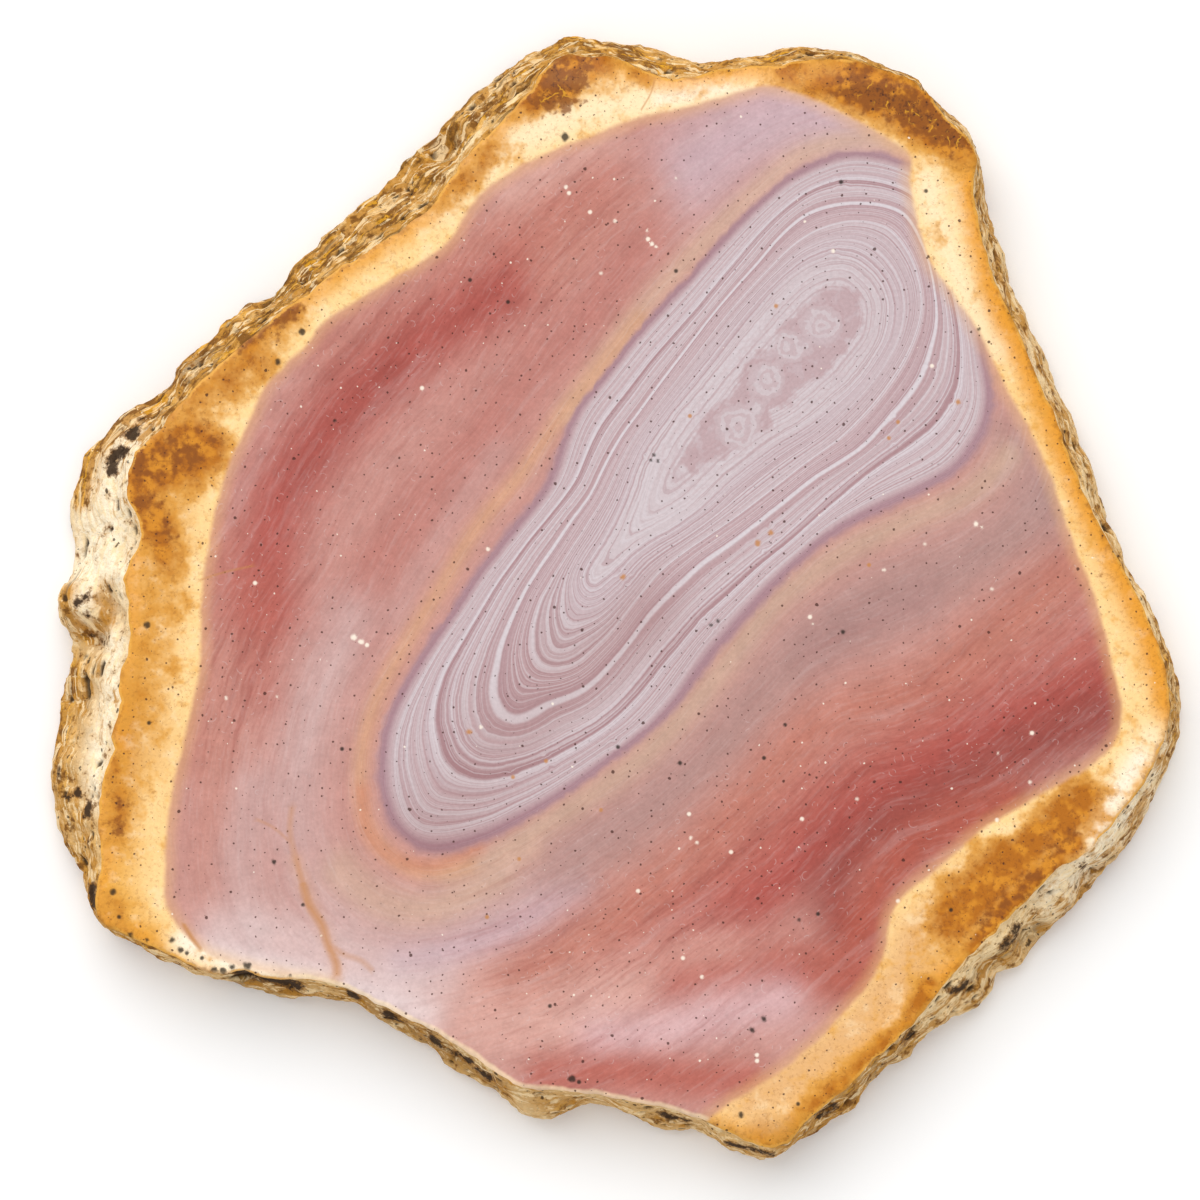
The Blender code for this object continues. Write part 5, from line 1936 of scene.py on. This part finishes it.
@dataclass(frozen=True)
class RindFinish:
    """The chalky, rusty rind, with painted shade in its pits and hollows.

    Attributes:
        roughness: How matte it is.
        grain_depth: How deep its finest grain looks, in millimetres.
    """

    roughness: float = 0.88
    grain_depth: float = 0.16

    def material(self, effects: StoneEffects) -> bpy.types.Material:
        """Builds the finish.

        Args:
            effects: The effects that the finishes share.

        Returns:
            The material.
        """
        material, sheet, shader = new_material("rind")
        place = sheet.place_in_mm()
        way = sheet.value_of("round_rind", "Vector")
        rust = sheet.value_of("rind_rust")
        colour = sheet.value_of("rind_tint", "Color")
        streaks = sheet.noise(sheet.stretched(way, (0.45, 0.45, 1.3)), 0.9, 3.0, 0.66)
        patches = sheet.noise(place, 0.75, 3.0, 0.66)
        grain = sheet.noise(place, 2.3, 3.0, 0.7)
        broad = sheet.noise(sheet.stretched(way, (0.14, 0.14, 0.4)), 1.0, 2.0, 0.55)
        rust = sheet.times(rust, sheet.step(broad, 0.36, 0.62, 0.4, 1.1))
        colour = sheet.blend(sheet.step(patches, 0.44, 0.34, 0.0, 0.7), colour, Tone.WARM_CHALK)
        colour = sheet.blend(sheet.step(patches, 0.5, 0.62, 0.0, 0.4), colour, Tone.RIND_TAN)
        ochre = sheet.scaled(rust, 0.28, streaks)
        colour = sheet.blend(sheet.step(ochre, 0.54, 0.72, 0.0, 0.85), colour, Tone.RIND_OCHRE)
        brown = sheet.scaled(rust, 0.2, patches)
        colour = sheet.blend(sheet.step(brown, 0.62, 0.76, 0.0, 0.9), colour, Tone.RIND_BROWN)
        bright = sheet.times(sheet.step(streaks, 0.46, 0.38), rust)
        colour = sheet.blend(sheet.times(bright, 0.7), colour, Tone.RUST_GOLD)
        layers = sheet.noise(sheet.stretched(way, (0.2, 0.2, 2.4)), 1.0, 2.0, 0.66)
        cut = sheet.times(sheet.step(layers, 0.52, 0.64), sheet.value_of("layering"))
        colour = sheet.blend(sheet.times(cut, 0.6), colour, Tone.PIT_BROWN)
        crevice = sheet.times(sheet.step(grain, 0.56, 0.68), sheet.scaled(rust, 0.55, 0.2))
        colour = sheet.blend(crevice, colour, Tone.PIT_BROWN)
        cells = sheet.add("TexVoronoi")
        sheet.give(cells, Vector=sheet.stretched(way, (0.8, 0.8, 1.0)), Scale=1.0)
        blotch = sheet.step(sheet.noise(sheet.stretched(way, (0.4, 0.4, 1.4)), 1.1, 3.0, 0.66), 0.54, 0.62)
        colour = sheet.blend(sheet.times(blotch, 0.75), colour, Tone.WARM_CHALK)
        ragged = sheet.scaled(grain, 0.6, cells.outputs["Distance"])
        ragged = sheet.scaled(broad, 0.5, ragged)
        colour = sheet.blend(sheet.step(ragged, 0.7, 0.6, 0.0, 0.85), colour, Tone.PIT_BLACK)
        # Painted shade: the hollows turn dark brown, and near black in their middles.
        hollow_shade = sheet.frayed(grain, 1.2, sheet.value_of("hollow_shade"))
        hollow_shade = sheet.frayed(patches, 1.5, hollow_shade)
        colour = sheet.blend(sheet.step(hollow_shade, 0.2, 0.42, 0.0, 0.7), colour, Tone.RIND_BROWN)
        colour = sheet.blend(sheet.step(hollow_shade, 0.42, 0.66, 0.0, 0.92), colour, Tone.PIT_BLACK)
        # Painted shade: the pits sunk into the mesh are coloured near black, the deeper the darker.
        colour = sheet.blend(sheet.step(sheet.value_of("pit"), 0.15, 0.8, 0.0, 0.9), colour, Tone.PIT_BLACK)
        shade = sheet.use(effects.mottle, Place=place, Size=0.8, Strength=0.5).outputs["Shade"]
        colour = sheet.blend(1.0, colour, shade, "MULTIPLY")
        finest = sheet.calc("SUBTRACT", sheet.noise(place, 3.2, 2.0, 0.7), grain)
        normal = sheet.bump(0.8, self.grain_depth, finest)
        sheet.give(shader, Base_Color=colour, Roughness=self.roughness, Normal=normal)
        sheet.give(shader, Specular_IOR_Level=0.12)
        return material


def new_material(name: str) -> tuple[bpy.types.Material, Sheet, Node]:
    """Starts a material.

    Args:
        name: The material's name.

    Returns:
        The material, its sheet and its Principled shader.
    """
    material = bpy.data.materials.new(name)
    material.use_nodes = True
    return material, Sheet(material.node_tree), material.node_tree.nodes["Principled BSDF"]


@dataclass
class Studio:
    """The floor, the lights and the camera.

    Attributes:
        centre: The point on the polished face that the camera looks at, in millimetres.
        distance: How far the camera is above that face.
        lens: The camera's focal length.
        sensor: The camera's sensor width.
        key_place: Where the main light stands, in metres.
        key_strength: How strong it is.
        key_width: How wide it looks from the slab, in degrees.
        room_strength: How strong the even light of the room is.
    """

    centre: Point = (-1.7, -0.1)
    distance: float = 666.7
    lens: float = 200.0
    sensor: float = 36.0
    key_place: tuple[float, float, float] = (-0.16, 0.5, 0.62)
    key_strength: float = 1.8
    key_width: float = 60.0
    room_strength: float = 0.7

    def build_floor(self) -> bpy.types.Object:
        """Lays the pale floor.

        Returns:
            The floor.
        """
        bm = bmesh.new()
        bmesh.ops.create_grid(bm, x_segments=1, y_segments=1, size=1.5)
        mesh = bpy.data.meshes.new("floor")
        bm.to_mesh(mesh)
        bm.free()
        floor = bpy.data.objects.new("floor", mesh)
        bpy.context.scene.collection.objects.link(floor)
        material, sheet, shader = new_material("pale_floor")
        speckle = sheet.noise(sheet.place_in_mm(), 0.05, 3.0)
        shade = sheet.ramp(speckle, ((0.0, (0.975, 0.975, 0.975, 1.0)), (1.0, (0.99, 0.99, 0.99, 1.0))))
        sheet.give(shader, Base_Color=shade, Roughness=0.9, Specular_IOR_Level=0.1)
        floor.data.materials.append(material)
        return floor

    def light(self) -> None:
        """Hangs a wide soft light above the slab's upper left and lights the room evenly."""
        key = bpy.data.objects.new("key_light", bpy.data.lights.new("key_light", "SUN"))
        key.data.energy = self.key_strength
        key.data.angle = math.radians(self.key_width)
        key.location = self.key_place
        key.rotation_euler = (-Vector(self.key_place)).to_track_quat("-Z", "Y").to_euler()
        bpy.context.scene.collection.objects.link(key)
        world = bpy.data.worlds.new("studio")
        world.use_nodes = True
        background = world.node_tree.nodes["Background"]
        Sheet(world.node_tree).give(background, (1.0, 1.0, 1.0, 1.0), self.room_strength)
        bpy.context.scene.world = world
        bpy.context.scene.view_settings.view_transform = "Standard"

    def place_camera(self, top: float) -> None:
        """Looks straight down at the polished face.

        Args:
            top: The height of that face in metres.
        """
        camera = bpy.data.objects.new("camera", bpy.data.cameras.new("camera"))
        camera.data.lens = self.lens
        camera.data.sensor_width = self.sensor
        camera.data.clip_start = 0.01
        camera.location = (self.centre[0] * MM, self.centre[1] * MM, top + self.distance * MM)
        bpy.context.scene.collection.objects.link(camera)
        bpy.context.scene.camera = camera


def main() -> None:
    """Builds the slab's looks and the studio round it."""
    logging.basicConfig(level=logging.INFO, format="%(name)s: %(message)s")
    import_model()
    slab = JasperSlab()
    piece = slab.build()
    slab.dress(piece)
    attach(piece, "root")
    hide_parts(NODE)
    studio = Studio()
    studio.build_floor()
    studio.light()
    studio.place_camera(slab.top * MM)


if __name__ == "__main__":
    main()
